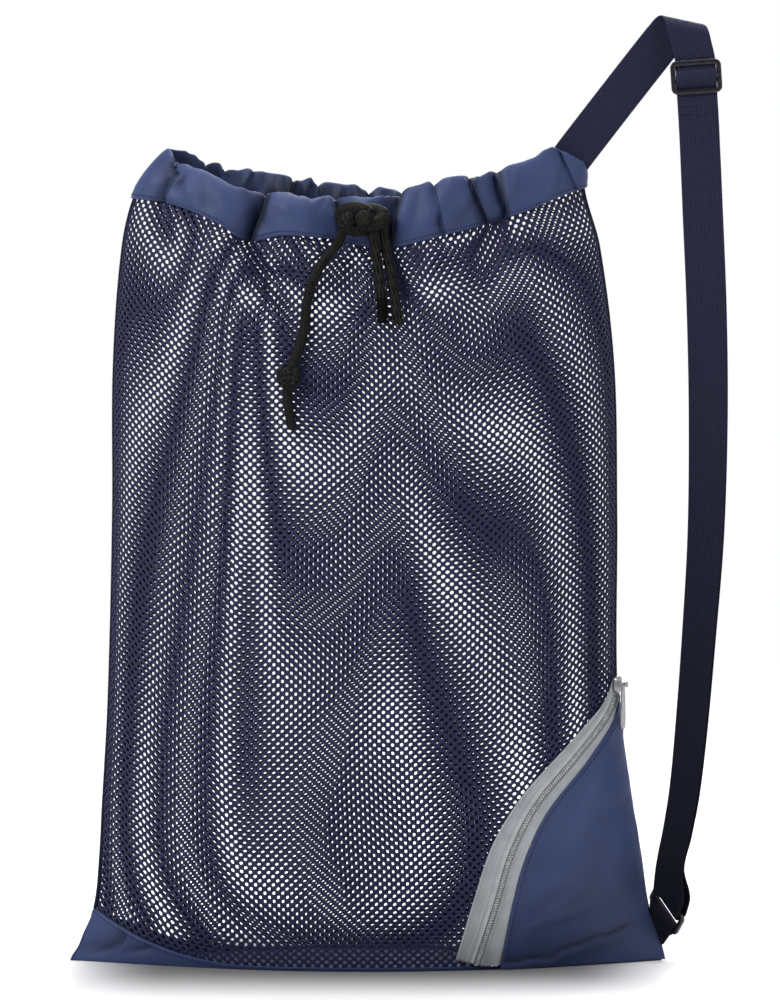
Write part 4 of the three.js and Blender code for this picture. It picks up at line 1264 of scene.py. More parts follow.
@dataclass
class Net:
    """Net of one side: a staggered field of holes between strands of yarn."""

    form: BagForm
    side: Side
    material: Material
    pitch: float = 6.85 * MM
    row_pitch: float = 3.15 * MM
    yarn: float = 0.7 * MM
    rounding: float = 0.3 * MM
    hole_height: float = 0.76
    hole_width: float = 0.6
    in_casing: float = 5 * MM
    under_base: float = 5 * MM
    base_tuck: float = 1.2 * MM
    tuck_run: float = 1.5 * MM
    tuck_start: float = 0.6
    lowest: float = 0.6 * MM
    samples: int = 500
    cut: Cut = Cut(0.2225, 0.575, Hold.HUNG, ("casing", "base_panel"))

    def lattice(self) -> Piece:
        """Make a field of triangles, even along the cloth.

        Returns:
            The triangles, with the middles of the holes as corners.
        """
        dense = np.linspace(0, math.pi, self.samples)
        low = self.form.base_seam(dense) - self.under_base
        high = self.form.casing_height(self.side, dense, 0) + self.in_casing
        rows = round(float(np.mean(high - low)) / self.row_pitch)
        middle = self.form.points(self.side, dense, (low + high) / 2, 0)
        columns = round(float(lengths(middle)[-1]) / self.pitch)
        points = []
        for row in range(rows + 1):
            z = mix(low, high, row / rows)
            line = self.form.points(self.side, dense, z, 0)
            length = lengths(line)
            shares = (np.arange(columns + 1) + (0.5 if row % 2 else 0)) / (columns + 0.5)
            angle = np.interp(shares * length[-1], length, dense)
            height = np.maximum(np.interp(angle, dense, z), self.lowest)
            sunk = (self.form.base_seam(angle) - height) / self.tuck_run
            under = np.clip(sunk + self.tuck_start, 0, 1)
            points.append(self.form.points(self.side, angle, height, -self.base_tuck * under))
        faces = []
        for row in range(rows):
            for low in range(row * (columns + 1), row * (columns + 1) + columns):
                high = low + columns + 1
                if row % 2:
                    faces += [(low, high + 1, high), (low, low + 1, high + 1)]
                else:
                    faces += [(low, low + 1, high), (low + 1, high + 1, high)]
        mesh = bpy.data.meshes.new("lattice")
        mesh.from_pydata(np.concatenate(points).tolist(), [], faces)
        base = add_piece("lattice", mesh)
        face_outwards(base, Vector((0, self.side.value, 0)), len(faces) // 2)
        return base

    def tree(self) -> NodeTree:
        """Tree that turns the lattice into cells, opens a hole in each and gives it a wall.

        Returns:
            The tree.
        """
        sizes = {"Hole height": self.hole_height, "Hole width": self.hole_width}
        made = NodeTree("net_holes", {**sizes, "Yarn": self.yarn, "Rounding": self.rounding})
        height, width, yarn, rounding = made.sizes
        cells = made.node("GeometryNodeDualMesh", Mesh=made.base, Keep_Boundaries=True)
        faces = {"mode": "FACES"}
        whole = cells.outputs["Dual Mesh"]
        inwards = made.math("MULTIPLY", rounding, -1.0)
        rim = made.node("GeometryNodeExtrudeMesh", faces, Mesh=whole, Offset_Scale=inwards, Individual=True)
        hole = rim.outputs["Top"]
        chosen = {"Geometry": rim.outputs["Mesh"], "Selection": hole}
        even = {"domain": "FACE", "scale_mode": "UNIFORM"}
        smaller = made.node("GeometryNodeScaleElements", even, **chosen, Scale=height)
        level = made.node("ShaderNodeVectorMath", {"operation": "CROSS_PRODUCT"})
        made.feed(level.inputs[0], made.node("GeometryNodeInputNormal").outputs["Normal"])
        made.feed(level.inputs[1], UP)
        chosen = {"Geometry": smaller.outputs["Geometry"], "Selection": hole, "Scale": width}
        level_only = {"domain": "FACE", "scale_mode": "SINGLE_AXIS"}
        narrow = made.node("GeometryNodeScaleElements", level_only, **chosen, Axis=level.outputs["Vector"])
        chosen = {"Mesh": narrow.outputs["Geometry"], "Selection": hole, "Individual": True}
        inwards = made.math("MULTIPLY", yarn, -1.0)
        wall = made.node("GeometryNodeExtrudeMesh", faces, **chosen, Offset_Scale=inwards)
        chosen = {"Geometry": wall.outputs["Mesh"], "Selection": wall.outputs["Top"]}
        opened = made.node("GeometryNodeDeleteGeometry", {"domain": "FACE"}, **chosen)
        made.close(opened.outputs["Geometry"], self.material)
        return made

    def build(self) -> None:
        """Make the net and put it on the bag, as a left and a right piece."""
        node = self.side.name.lower() + "_mesh"
        whole = self.tree().applied(self.lattice(), node + "_right_net")
        left = add_piece(node + "_left_net", whole.data.copy())
        for piece, sign in ((whole, -1), (left, 1)):
            work = bmesh.new()
            work.from_mesh(piece.data)
            gone = [face for face in work.faces if sign * face.calc_center_median().x >= 0]
            bmesh.ops.delete(work, geom=gone, context="FACES")
            work.to_mesh(piece.data)
            work.free()
            enlist(piece, [node], cut=self.cut)


@dataclass
class SideSeams:
    """Overlocked seams where the two nets meet, from the base to the casing."""

    form: BagForm
    material: Material
    steps: int = 260
    into_casing: float = 3 * MM
    inset: float = 0.8 * MM
    overlock: BeadRow = BeadRow(pitch=1.3 * MM, length=2.6 * MM, width=6.5 * MM, height=3.6 * MM)

    def build(self) -> None:
        """Make both seams as one piece and put it on the bag."""
        lines = []
        for angle in (0.0, math.pi):
            low = self.form.base_seam(np.array(angle))
            high = self.form.casing_height(Side.FRONT, np.array(angle), 0) + self.into_casing
            z = np.linspace(low, high, self.steps)
            turn = np.full_like(z, angle)
            line = self.form.points(Side.FRONT, turn, z, np.zeros_like(z))
            outwards = np.array([math.cos(angle), 0, 0])
            lines.append((line - self.inset * outwards, np.tile(outwards, (self.steps, 1))))
        enlist(self.overlock.build("side_seams", lines, self.material))


CREST = 0.05


class Dent(NamedTuple):
    """One small crease of a sheet: middle, lean in degrees, half length, half width and height."""

    x: float
    z: float
    lean: float
    length: float
    spread: float
    depth: float

    def relief(self, across: Array, up: Array, crisp: bool) -> Array:
        """Height of the crease.

        Args:
            across: Places along the sheet.
            up: Places up the sheet.
            crisp: Whether it has a sharp crest.

        Returns:
            Heights outside the sheet.
        """
        lean = math.radians(self.lean)
        run = (across - self.x) * math.cos(lean) + (up - self.z) * math.sin(lean)
        off = (up - self.z) * math.cos(lean) - (across - self.x) * math.sin(lean)
        fall = np.sqrt((off / self.spread) ** 2 + CREST) if crisp else (off / self.spread) ** 2
        return self.depth * np.exp(-((run / self.length) ** 2) - fall)


@dataclass(frozen=True)
class Wrinkles:
    """Seeded small creases on a sheet, each a ridge or dent, soft or crisp."""

    seed: int
    count: int
    width: Span
    height: Span
    lean: Span
    length: Span
    spread: Span
    depth: float
    crisp: bool = False

    def relief(self, across: Array, up: Array) -> Array:
        """Height of the creases.

        Args:
            across: Places along the sheet.
            up: Places up the sheet.

        Returns:
            Heights outside the sheet.
        """
        draw = np.random.default_rng(self.seed)
        total = np.zeros(np.broadcast(across, up).shape)
        deep = (-self.depth, self.depth)
        ranges = (self.width, self.height, self.lean, self.length, self.spread, deep)
        for _ in range(self.count):
            dent = Dent(*(draw.uniform(*limits) for limits in ranges))
            total += dent.relief(across, up, self.crisp)
        return total


CORNER_FOLDS = (
    Dent(-0.2, 0.011, 28, 16 * MM, 3 * MM, -3.2 * MM),
    Dent(-0.188, 0.021, 55, 9 * MM, 2.4 * MM, -2.6 * MM),
    Dent(-0.172, 0.012, 15, 14 * MM, 3 * MM, -2.4 * MM),
)
PEAK_FOLDS = {
    Side.FRONT: (
        Dent(-0.1555, 0.036, 62, 9 * MM, 2.4 * MM, -6 * MM),
        Dent(-0.1465, 0.0295, 14, 11 * MM, 2.8 * MM, -7 * MM),
        Dent(-0.1385, 0.0235, 52, 10 * MM, 2.2 * MM, -5.5 * MM),
        Dent(-0.1595, 0.027, 75, 10 * MM, 3 * MM, 2.5 * MM),
    ),
    Side.BACK: (),
}
CASING_CREASES = Wrinkles(
    seed=30, count=90, width=(-0.18, 0.18), height=(-0.005, 0.045), lean=(50, 130),
    length=(7 * MM, 24 * MM), spread=(1.4 * MM, 5 * MM), depth=2.4 * MM, crisp=True,
)
CASING_HOLLOWS = Wrinkles(
    seed=71, count=30, width=(-0.165, 0.165), height=(0.0, 0.04), lean=(35, 145),
    length=(12 * MM, 26 * MM), spread=(4 * MM, 9 * MM), depth=2.4 * MM,
)
BACK_CREASES = replace(CASING_CREASES, seed=32, count=170, depth=3.4 * MM)
CASING_WRINKLES = {
    Side.FRONT: (CASING_CREASES, CASING_HOLLOWS),
    Side.BACK: (BACK_CREASES, replace(CASING_HOLLOWS, seed=73)),
}


@dataclass
class Casing:
    """Gathered nylon casing round the mouth, with its stitch line."""

    form: BagForm
    finishes: Finishes
    steps: int = 520
    samples: int = 2080
    contour_steps: int = 25
    cloth: float = 0.8 * MM
    stitch_share: float = 0.08
    stitch_lift: float = 3.4 * MM
    puff: float = 0.6 * MM
    puff_power: float = 0.6
    crest_lift: float = -0.8 * MM
    seam_fade: float = 2.5
    edge_share: float = 0.2
    rim_drop: float = -5 * MM / 3
    notch: float = 5 * MM
    notch_spread: float = 3.2 * MM
    crinkle: float = 0.7 * MM
    crinkle_waves: tuple[float, ...] = (3.1 * MM, 7 * MM, 13 * MM, 29 * MM)
    crinkle_bend: float = 2.0
    height: float = 40 * MM
    # Painted shade: full at this crease depth and this dent depth, and this much on the inner face.
    painted_shade_depth: float = 10 * MM
    painted_shade_relief: float = 9 * MM
    painted_shade_inside: float = 0.45
    inside_lift: float = -2 * MM
    near_crease: float = 9 * MM
    crowding: float = 3.0
    patch_start: float = 0.138
    patch_end: float = 0.146
    cut: Cut = Cut(0.89, 0.085, Hold.GATHERED, ("front_mesh", "back_mesh"))

    def rim_dip(self, side: Side, x: Array) -> Array:
        """How far the rim drops at its creases and crinkles.

        Args:
            side: Side of the bag.
            x: Places to the right.

        Returns:
            Drops below the plain rim.
        """
        fine, bend, broad, sway = (x / length for length in self.crinkle_waves)
        waves = np.sin(fine + self.crinkle_bend * np.sin(bend)) * np.sin(broad + np.sin(sway))
        dip = (self.crinkle if side is Side.FRONT else 2 * self.crinkle) * waves
        for crease in CREASES[side]:
            dip = dip + self.notch * np.exp(-np.abs(x - crease.rim_x) / self.notch_spread)
        places, raised = zip(*RIM_RAISE[side])
        return dip + self.rim_drop - np.interp(x, places, raised)

    def angles(self, side: Side) -> Array:
        """Angles round the casing, closer together at its creases.

        Args:
            side: Side of the bag.

        Returns:
            The angles, from the right seam to the left one.
        """
        dense = np.linspace(0, math.pi, self.samples)
        x = self.form.points(side, dense, self.form.casing_height(side, dense, 0.5), 0)[..., 0]
        weight = np.ones_like(dense)
        for crease in CREASES[side]:
            offset = x - (crease.hem_x + crease.rim_x) / 2
            weight += self.crowding * np.exp(-((offset / self.near_crease) ** 2))
        length = np.cumsum(weight) - weight[0]
        return np.interp(np.linspace(0, length[-1], self.steps + 1), length, dense)

    def sheet(self, side: Side, share: Array, lift: Array) -> tuple[Array, Array]:
        """Points of one side's casing.

        Args:
            side: Side of the bag.
            share: Height shares round the section.
            lift: Distances outside the net round the section.

        Returns:
            Grid of points by angle and place round the section, and the weight of painted shade at each
            point, which grows in the creases, in the dents and on the inner face.
        """
        angle = self.angles(side)[:, None]
        z = self.form.casing_height(side, angle, share)
        flat_x = self.form.points(side, angle, z, lift)[..., 0]
        up = share * self.height
        seam_fade = np.clip(np.sin(angle) * self.seam_fade, 0, 1)
        puff = self.puff * np.sin(math.pi * np.clip(share, 0, 1)) ** self.puff_power
        edge_fade = np.clip(share / self.edge_share, 0, 1)
        patch_fade = np.clip((self.patch_end - flat_x) / (self.patch_end - self.patch_start), 0, 1)
        fade = seam_fade * patch_fade
        relief = sum(kind.relief(flat_x, up) for kind in CASING_WRINKLES[side]) * edge_fade
        for dent in PEAK_FOLDS[side]:
            relief = relief + dent.relief(flat_x, up, True)
        outwards = (relief + np.sign(lift - self.crest_lift) * puff) * fade
        drop = self.rim_dip(side, flat_x) * np.clip(share, 0, 1) ** 2 * fade
        # Painted shade: darker deep in the creases and dents, and on the casing's inner face.
        hollow = np.sin(angle) * sum(self.form.crease_depth(crease, flat_x, z) for crease in CREASES[side])
        inside = self.painted_shade_inside * (lift < self.inside_lift)
        painted_shade = np.clip(hollow / self.painted_shade_depth - relief / self.painted_shade_relief + inside, 0, 1)
        return self.form.points(side, angle, z - drop, lift + outwards), painted_shade

    def build(self) -> None:
        """Make the casing and its stitches and put them on the bag."""
        keys = np.linspace(0, 1, len(CASING_WRAP))
        at = np.linspace(0, 1, self.contour_steps)
        share, lift = hermite(keys, np.array(CASING_WRAP, dtype=float), at).T
        sheets = zip(*(self.sheet(side, share, lift) for side in Side))
        ring, painted_shade = (np.concatenate([front[:-1], back[:0:-1]]) for front, back in sheets)
        faces = grid_faces(len(ring), self.contour_steps, looped=True)
        piece = mesh_piece("gathered_casing", ring, faces, self.finishes.nylon, mark=painted_shade)
        face_outwards(piece, FORWARDS, (self.steps // 2) * (self.contour_steps - 1) + 2)
        thicken(piece, self.cloth)
        enlist(piece, ["casing"], cut=self.cut)
        self.build_stitches()

    def build_stitches(self) -> None:
        """Sew the row of stitches above the casing's lower edge."""
        lines = []
        for side in Side:
            angle = self.angles(side)
            z = self.form.casing_height(side, angle, self.stitch_share)
            lines.append(sewn_line(self.form, side, angle, z, self.stitch_lift))
        enlist(STITCH.build("casing_stitches", lines, self.finishes.thread))


@dataclass
class Base:
    """Nylon base with rising corners, and the stitches along its seam."""

    form: BagForm
    finishes: Finishes
    columns: int = 160
    rim_rows: int = 16
    floor_rows: int = 18
    row_power: float = 1.4
    cloth: float = 1 * MM
    bottom: float = 0.2 * MM
    edge: float = 0.3 * MM
    edge_run: float = 1.2 * MM
    tip: float = 2.5 * MM
    tip_run: float = 9 * MM
    tip_power: float = 40
    low_fade: float = 10 * MM
    seam_fade: float = 6 * MM
    # Dent depth at which the painted shade is full.
    painted_shade_relief: float = 5 * MM
    stitch_drop: float = 2.5 * MM
    stitch_low: float = 1.2 * MM
    stitch_lift: float = 0.3 * MM
    wrinkles: Wrinkles = Wrinkles(
        seed=5, count=40, width=(-0.22, 0.22), height=(0.0, 0.045), lean=(-30, 60),
        length=(8 * MM, 26 * MM), spread=(2 * MM, 6 * MM), depth=2 * MM,
    )
    cut: Cut = Cut(0.45, 0.17, Hold.STRETCHED, ("front_mesh", "back_mesh"), 0.52)

    def rim(self, side: Side, angle: Array) -> tuple[list[Array], list[Array]]:
        """Rows of one side's rim, from the floor up.

        Args:
            side: Side of the bag.
            angle: Angles round it.

        Returns:
            Points of each row, and the weight of painted shade in its folds.
        """
        seam = self.form.base_seam(angle)
        rows = []
        painted_shades = []
        for row in range(self.rim_rows + 1):
            z = mix(np.full_like(seam, self.bottom), seam, (row / self.rim_rows) ** self.row_power)
            tip = self.tip * np.clip(-np.cos(angle), 0, 1) ** self.tip_power * np.exp(-z / self.tip_run)
            tuck = self.edge * np.exp(-z / self.edge_run) - tip
            x = self.form.points(side, angle, z, 0)[..., 0]
            fade = np.clip(z / self.low_fade, 0, 1) * np.clip((seam - z) / self.seam_fade, 0, 1)
            folds = sum(dent.relief(x, z, True) for dent in CORNER_FOLDS)
            relief = (self.wrinkles.relief(x, z) + folds) * fade
            rows.append(self.form.points(side, angle, z, relief - tuck))
            # Painted shade in the dents of the folds and wrinkles.
            painted_shades.append(np.clip(-relief / self.painted_shade_relief, 0, 1))
        return rows, painted_shades

    def build(self) -> None:
        """Make the base and put it on the bag."""
        angle = np.linspace(0, math.pi, self.columns + 1)
        (front, front_shade), (back, back_shade) = (self.rim(side, angle) for side in Side)
        floor = [mix(front[0], back[0], step / self.floor_rows) for step in range(1, self.floor_rows)]
        grid = np.stack(front[::-1] + floor + back)
        # The floor rows carry no painted shade.
        mark = np.stack(front_shade[::-1] + [np.zeros_like(angle)] * len(floor) + back_shade)
        faces = grid_faces(len(grid), self.columns + 1)
        piece = mesh_piece("nylon_base", grid, faces, self.finishes.nylon, mark=mark)
        lowest = (self.rim_rows + self.floor_rows // 2) * self.columns + self.columns // 2
        face_outwards(piece, DOWNWARDS, lowest)
        thicken(piece, self.cloth)
        enlist(piece, ["base_panel"], cut=self.cut)
        z = np.maximum(self.form.base_seam(angle) - self.stitch_drop, self.stitch_low)
        lines = [sewn_line(self.form, side, angle, z, self.stitch_lift) for side in Side]
        enlist(STITCH.build("base_stitches", lines, self.finishes.thread))


@dataclass
class Pocket:
    """Zipped corner pocket: panel, tapes, teeth, slider and pull."""

    form: BagForm
    finishes: Finishes
    frame: dict
    lift: float = 1.2 * MM
    gap: float = 0.3 * MM
    panel: float = 1.1 * MM
    tape: float = 0.8 * MM
    tapes_half: float = 0.15 * MM
    lip_at: float = 3 * MM
    lip: float = 1.5 * MM
    foot: float = 0.02
    teeth_end: float = 0.94
    top_share: float = 0.95
    steps: int = 140
    slope_step: float = 1 * MM
    panel_rows: int = 110
    panel_columns: int = 70
    under_tape: float = 1.5 * MM
    hem: float = 1.3 * MM
    hem_rate: float = 40.0
    side_rate: float = 8.0
    end_rate: float = 10.0
    wobble: float = 0.8 * MM
    wobble_run: float = 3.7 * MM
    groove: float = 1.2 * MM
    groove_run: float = 1.6 * MM
    groove_ends: Span = (12 * MM, 16 * MM)
    # Painted shade in the groove, between the creases and low down, and painted light near the top.
    groove_painted_shade: float = 0.8
    roll: float = 2.6 * MM
    roll_run: float = 5 * MM
    crease_painted_shade: float = 0.18
    soft_run: float = 1.4 * MM
    painted_light_by_height: Span = (-0.26, 0.14)
    low_top: float = 0.15
    low_run: float = 0.12
    hem_stitches: Span = (2 * MM, 0.9)
    hem_inset: float = 1.6 * MM
    hem_lift: float = 1.2 * MM
    tape_columns: int = 28
    tape_power: float = 1.4
    lip_run: float = 1.1 * MM
    ridge: float = 0.4 * MM
    ridge_at: float = 7 * MM
    ridge_run: float = 0.9 * MM
    turned_down: float = 0.5 * MM
    turned_from: float = 0.93
    channel_at: float = 1.8 * MM
    channel: float = 0.9 * MM
    # Painted shade in the channel beside the teeth; the outer tape also darkens towards its outer edge.
    channel_painted_shade: float = 0.72
    edge_dark: float = 0.28
    tape_inset: float = 1.8 * MM
    teeth: BeadRow = BeadRow(2 * MM, 1.35 * MM, 2.4 * MM, 1.9 * MM, sides=8, rings=5)
    teeth_steps: int = 600
    teeth_stagger: int = 2
    teeth_half: float = 0.8 * MM
    teeth_lift: float = 0.4 * MM
    metal_doubled: float = 0.005 * MM
    metal_flat: float = math.radians(2)
    metal_sharp: float = math.radians(35)
    metal_edge: float = 0.22 * MM
    creases: Wrinkles = Wrinkles(
        seed=12, count=16, width=(0.1, 0.21), height=(0.02, 0.19), lean=(-40, 70),
        length=(20 * MM, 60 * MM), spread=(5 * MM, 14 * MM), depth=2.4 * MM,
    )
    foot_creases: Wrinkles = Wrinkles(
        seed=4, count=26, width=(0.1, 0.205), height=(0.012, 0.06), lean=(0, 40),
        length=(10 * MM, 30 * MM), spread=(1.5 * MM, 4 * MM), depth=1.9 * MM, crisp=True,
    )
    panel_cut: Cut = Cut(0.135, 0.215, Hold.STRETCHED, ("front_mesh",), 0.6)
    outer_cut: Cut = Cut(0.0168, 0.24, Hold.STRETCHED, ("front_mesh",), 0.94)
    inner_cut: Cut = Cut(0.0185, 0.24, Hold.STRETCHED, ("front_mesh",), 0.76)

    def beside_zip(self, run: Array, offset: Array) -> tuple[Array, Array]:
        """Place beside the zip's middle, as seen from the front.

        Args:
            run: Length run along the zip.
            offset: Distance towards the pocket.

        Returns:
            Angles and heights on the bag.
        """
        ahead, behind = run + self.slope_step, run - self.slope_step
        dx, dz = (
            column(ZIP_PATH, "run", name, ahead) - column(ZIP_PATH, "run", name, behind) for name in "xz"
        )
        length = np.hypot(dx, dz)
        x = column(ZIP_PATH, "run", "x", run) + offset * dz / length
        z = column(ZIP_PATH, "run", "z", run) - offset * dx / length
        angle = self.form.angle_at(x, z)
        return angle, np.maximum(z, self.form.base_seam(angle) + self.gap)

    def on_front(self, angle: Array, z: Array, lift: Array) -> Array:
        """Points on the front at a distance from the net."""
        return self.form.points(Side.FRONT, angle, z, lift)

    def build(self) -> None:
        """Make the pocket's pieces and put them on the bag."""
        self.build_panel()
        self.build_tape("outer", -1, self.outer_cut)
        self.build_tape("inner", 1, self.inner_cut)
        self.build_teeth()
        self.build_metal()

    def panel_form(self, x: Array, z: Array, over: Array, rise: Array) -> tuple[Array, Array]:
        """Hem of the panel, its creases, and the roll and groove along its foot.

        Args:
            x: Places to the right.
            z: Heights.
            over: Shares of the way from the zip to the side seam.
            rise: Shares of the way up.

        Returns:
            Distances outside the net, and the weight for the finish: painted shade in the groove and between
            the creases, and painted light that is lighter high up and darker low down.
        """
        creases = self.creases.relief(x, z)
        foot = self.foot_creases.relief(x, z)
        sides = np.minimum(over, 1 - over) * self.side_rate
        border = np.minimum(sides, np.minimum(rise, 1 - rise) * self.end_rate).clip(0, 1)
        hem = self.hem * np.sqrt(np.clip(1 - over * self.hem_rate, 0, 1))
        keys = np.array(FOOT_CREASE)
        below = z - np.interp(x, *keys.T) - self.wobble * np.sin(x / self.wobble_run)
        start, end = self.groove_ends
        ends = np.clip((x - keys[0, 0]) / start, 0, 1) * np.clip((keys[-1, 0] - x) / end, 0, 1)
        groove = ends * np.exp(-np.abs(below) / self.groove_run)
        roll = self.roll * ends * np.exp(-(((below + self.roll_run) / self.roll_run) ** 2))
        folds = np.abs(creases + foot) * border + roll - self.groove * groove
        # Painted shade between the creases, and painted light by height: lighter near the top, darker near
        # the floor.
        soft = self.crease_painted_shade * np.exp(-np.abs(creases) / self.soft_run) * border
        low = mix(*self.painted_light_by_height, np.clip((self.low_top - z) / self.low_run, 0, 1))
        return self.lift + self.panel + hem + folds, self.groove_painted_shade * groove + soft + low

    def build_panel(self) -> None:
        """Make the nylon panel and the stitches of its hem along the zip."""
        zip_length = ZIP_PATH[-1].run
        rise = np.linspace(0, 1, self.panel_rows + 1)[:, None]
        over = np.linspace(0, 1, self.panel_columns + 1)[None, :]
        run = zip_length * self.top_share * rise
        left_angle, left_z = self.beside_zip(run, column(ZIP_PATH, "run", "inner", run) - self.under_tape)
        angle = mix(left_angle, self.form.seam_angle, over)
        seam_low = self.form.base_seam(0.0) * self.foot + self.gap
        bottom = self.form.base_seam(angle[:1]) * self.foot + self.gap
        straight = mix(left_z[0, 0], seam_low, over)
        right_z = mix(seam_low, left_z[-1, 0], rise)
        z = mix(left_z, right_z, over) + (1 - rise) * (bottom - straight)
        lift, mark = self.panel_form(self.on_front(angle, z, 0)[..., 0], z, over, rise)
        faces = grid_faces(self.panel_rows + 1, self.panel_columns + 1)
        points = self.on_front(angle, z, lift)
        piece = mesh_piece("pocket_nylon", points, faces, self.finishes.nylon, mark=mark)
        face_outwards(piece, FORWARDS, (self.panel_rows // 2) * self.panel_columns + self.panel_columns // 2)
        thicken(piece, self.panel)
        enlist(piece, ["pocket_panel"], cut=self.panel_cut)
        start, end = self.hem_stitches
        run = np.linspace(start, zip_length * end, self.steps)
        place = self.beside_zip(run, column(ZIP_PATH, "run", "inner", run) + self.hem_inset)
        line = sewn_line(self.form, Side.FRONT, *place, self.lift + self.panel + self.hem_lift)
        enlist(STITCH.build("pocket_stitches", [line], self.finishes.thread))

    def build_tape(self, name: str, side: int, cut: Cut) -> None:
        """Make one side's tape, raised beside the teeth; the outer one is sewn to the net.

        Args:
            name: Column of the zip's table with the tape's reach.
            side: 1 on the pocket's side of the teeth, -1 on the other.
            cut: The tape before it was sewn.
        """
        node = "zip_tape_" + name
        run = np.linspace(0, ZIP_PATH[-1].run, self.steps + 1)[:, None]
        share = np.linspace(0, 1, self.tape_columns)[None, :] ** self.tape_power
        edge = column(ZIP_PATH, "run", name, run)
        distance = mix(self.tapes_half, edge, share)
        angle, z = self.beside_zip(run, side * distance)
        lip_at = np.minimum(self.lip_at, edge / 2)
        lip = self.lip * np.exp(-(((distance - lip_at) / self.lip_run) ** 2))
        ridge = self.ridge * np.exp(-(((distance - self.ridge_at) / self.ridge_run) ** 2))
        turned = self.turned_down * np.clip((share - self.turned_from) / (1 - self.turned_from), 0, 1)
        # Painted shade in the channel beside the teeth, and on the outer tape a darkening towards its outer
        # edge.
        dark = self.channel_painted_shade * np.exp(-(((distance - self.channel_at) / self.channel) ** 2))
        if side < 0:
            dark = dark + self.edge_dark * share
        points = self.on_front(angle, z, self.lift + self.tape + lip + ridge - turned)
        faces = grid_faces(self.steps + 1, self.tape_columns)
        piece = mesh_piece(node + "_cloth", points, faces, self.finishes.tape, mark=dark)
        face_outwards(piece, FORWARDS, self.steps // 2 * (self.tape_columns - 1))
        thicken(piece, self.tape)
        enlist(piece, [node], cut=cut)
        if side < 0:
            place = self.beside_zip(run[:, 0], side * (edge[:, 0] - self.tape_inset))
            line = sewn_line(self.form, Side.FRONT, *place, self.lift + self.tape)
            enlist(STITCH.build(node + "_stitches", [line], self.finishes.pale_thread))

    def build_teeth(self) -> None:
        """Make the closed coil: two rows of teeth that lie between each other."""
        run = np.linspace(0, ZIP_PATH[-1].run * self.teeth_end, self.teeth_steps)
        lines = []
        for side, start in ((-1, 0), (1, self.teeth_stagger)):
            place = self.beside_zip(run[start:], side * self.teeth_half)
            lift = self.lift + self.tape + self.teeth_lift
            lines.append(sewn_line(self.form, Side.FRONT, *place, lift))
        enlist(self.teeth.build("zip_teeth", lines, self.finishes.teeth), ["zip_coil"])

    def build_metal(self) -> None:
        """Make the slider and its pull from their solids, with rounded edges."""
        for node, body in (("zip_slider", Body.BAG), ("zip_pull", Body.PULL)):
            work = bmesh.new()
            work.from_mesh(self.frame["nodes"][node].data)
            bmesh.ops.remove_doubles(work, verts=work.verts, dist=self.metal_doubled)
            bmesh.ops.dissolve_limit(work, angle_limit=self.metal_flat, verts=work.verts, edges=work.edges)
            mesh = bpy.data.meshes.new(node + "_metal")
            work.to_mesh(mesh)
            work.free()
            mesh.materials.append(self.finishes.metal)
            mesh.shade_smooth()
            piece = add_piece(node + "_metal", mesh)
            rounded = piece.modifiers.new("edges", "BEVEL")
            rounded.width = self.metal_edge
            rounded.segments = 2
            rounded.limit_method = "ANGLE"
            rounded.angle_limit = self.metal_sharp
            rounded.harden_normals = True
            enlist(piece, [node], body)


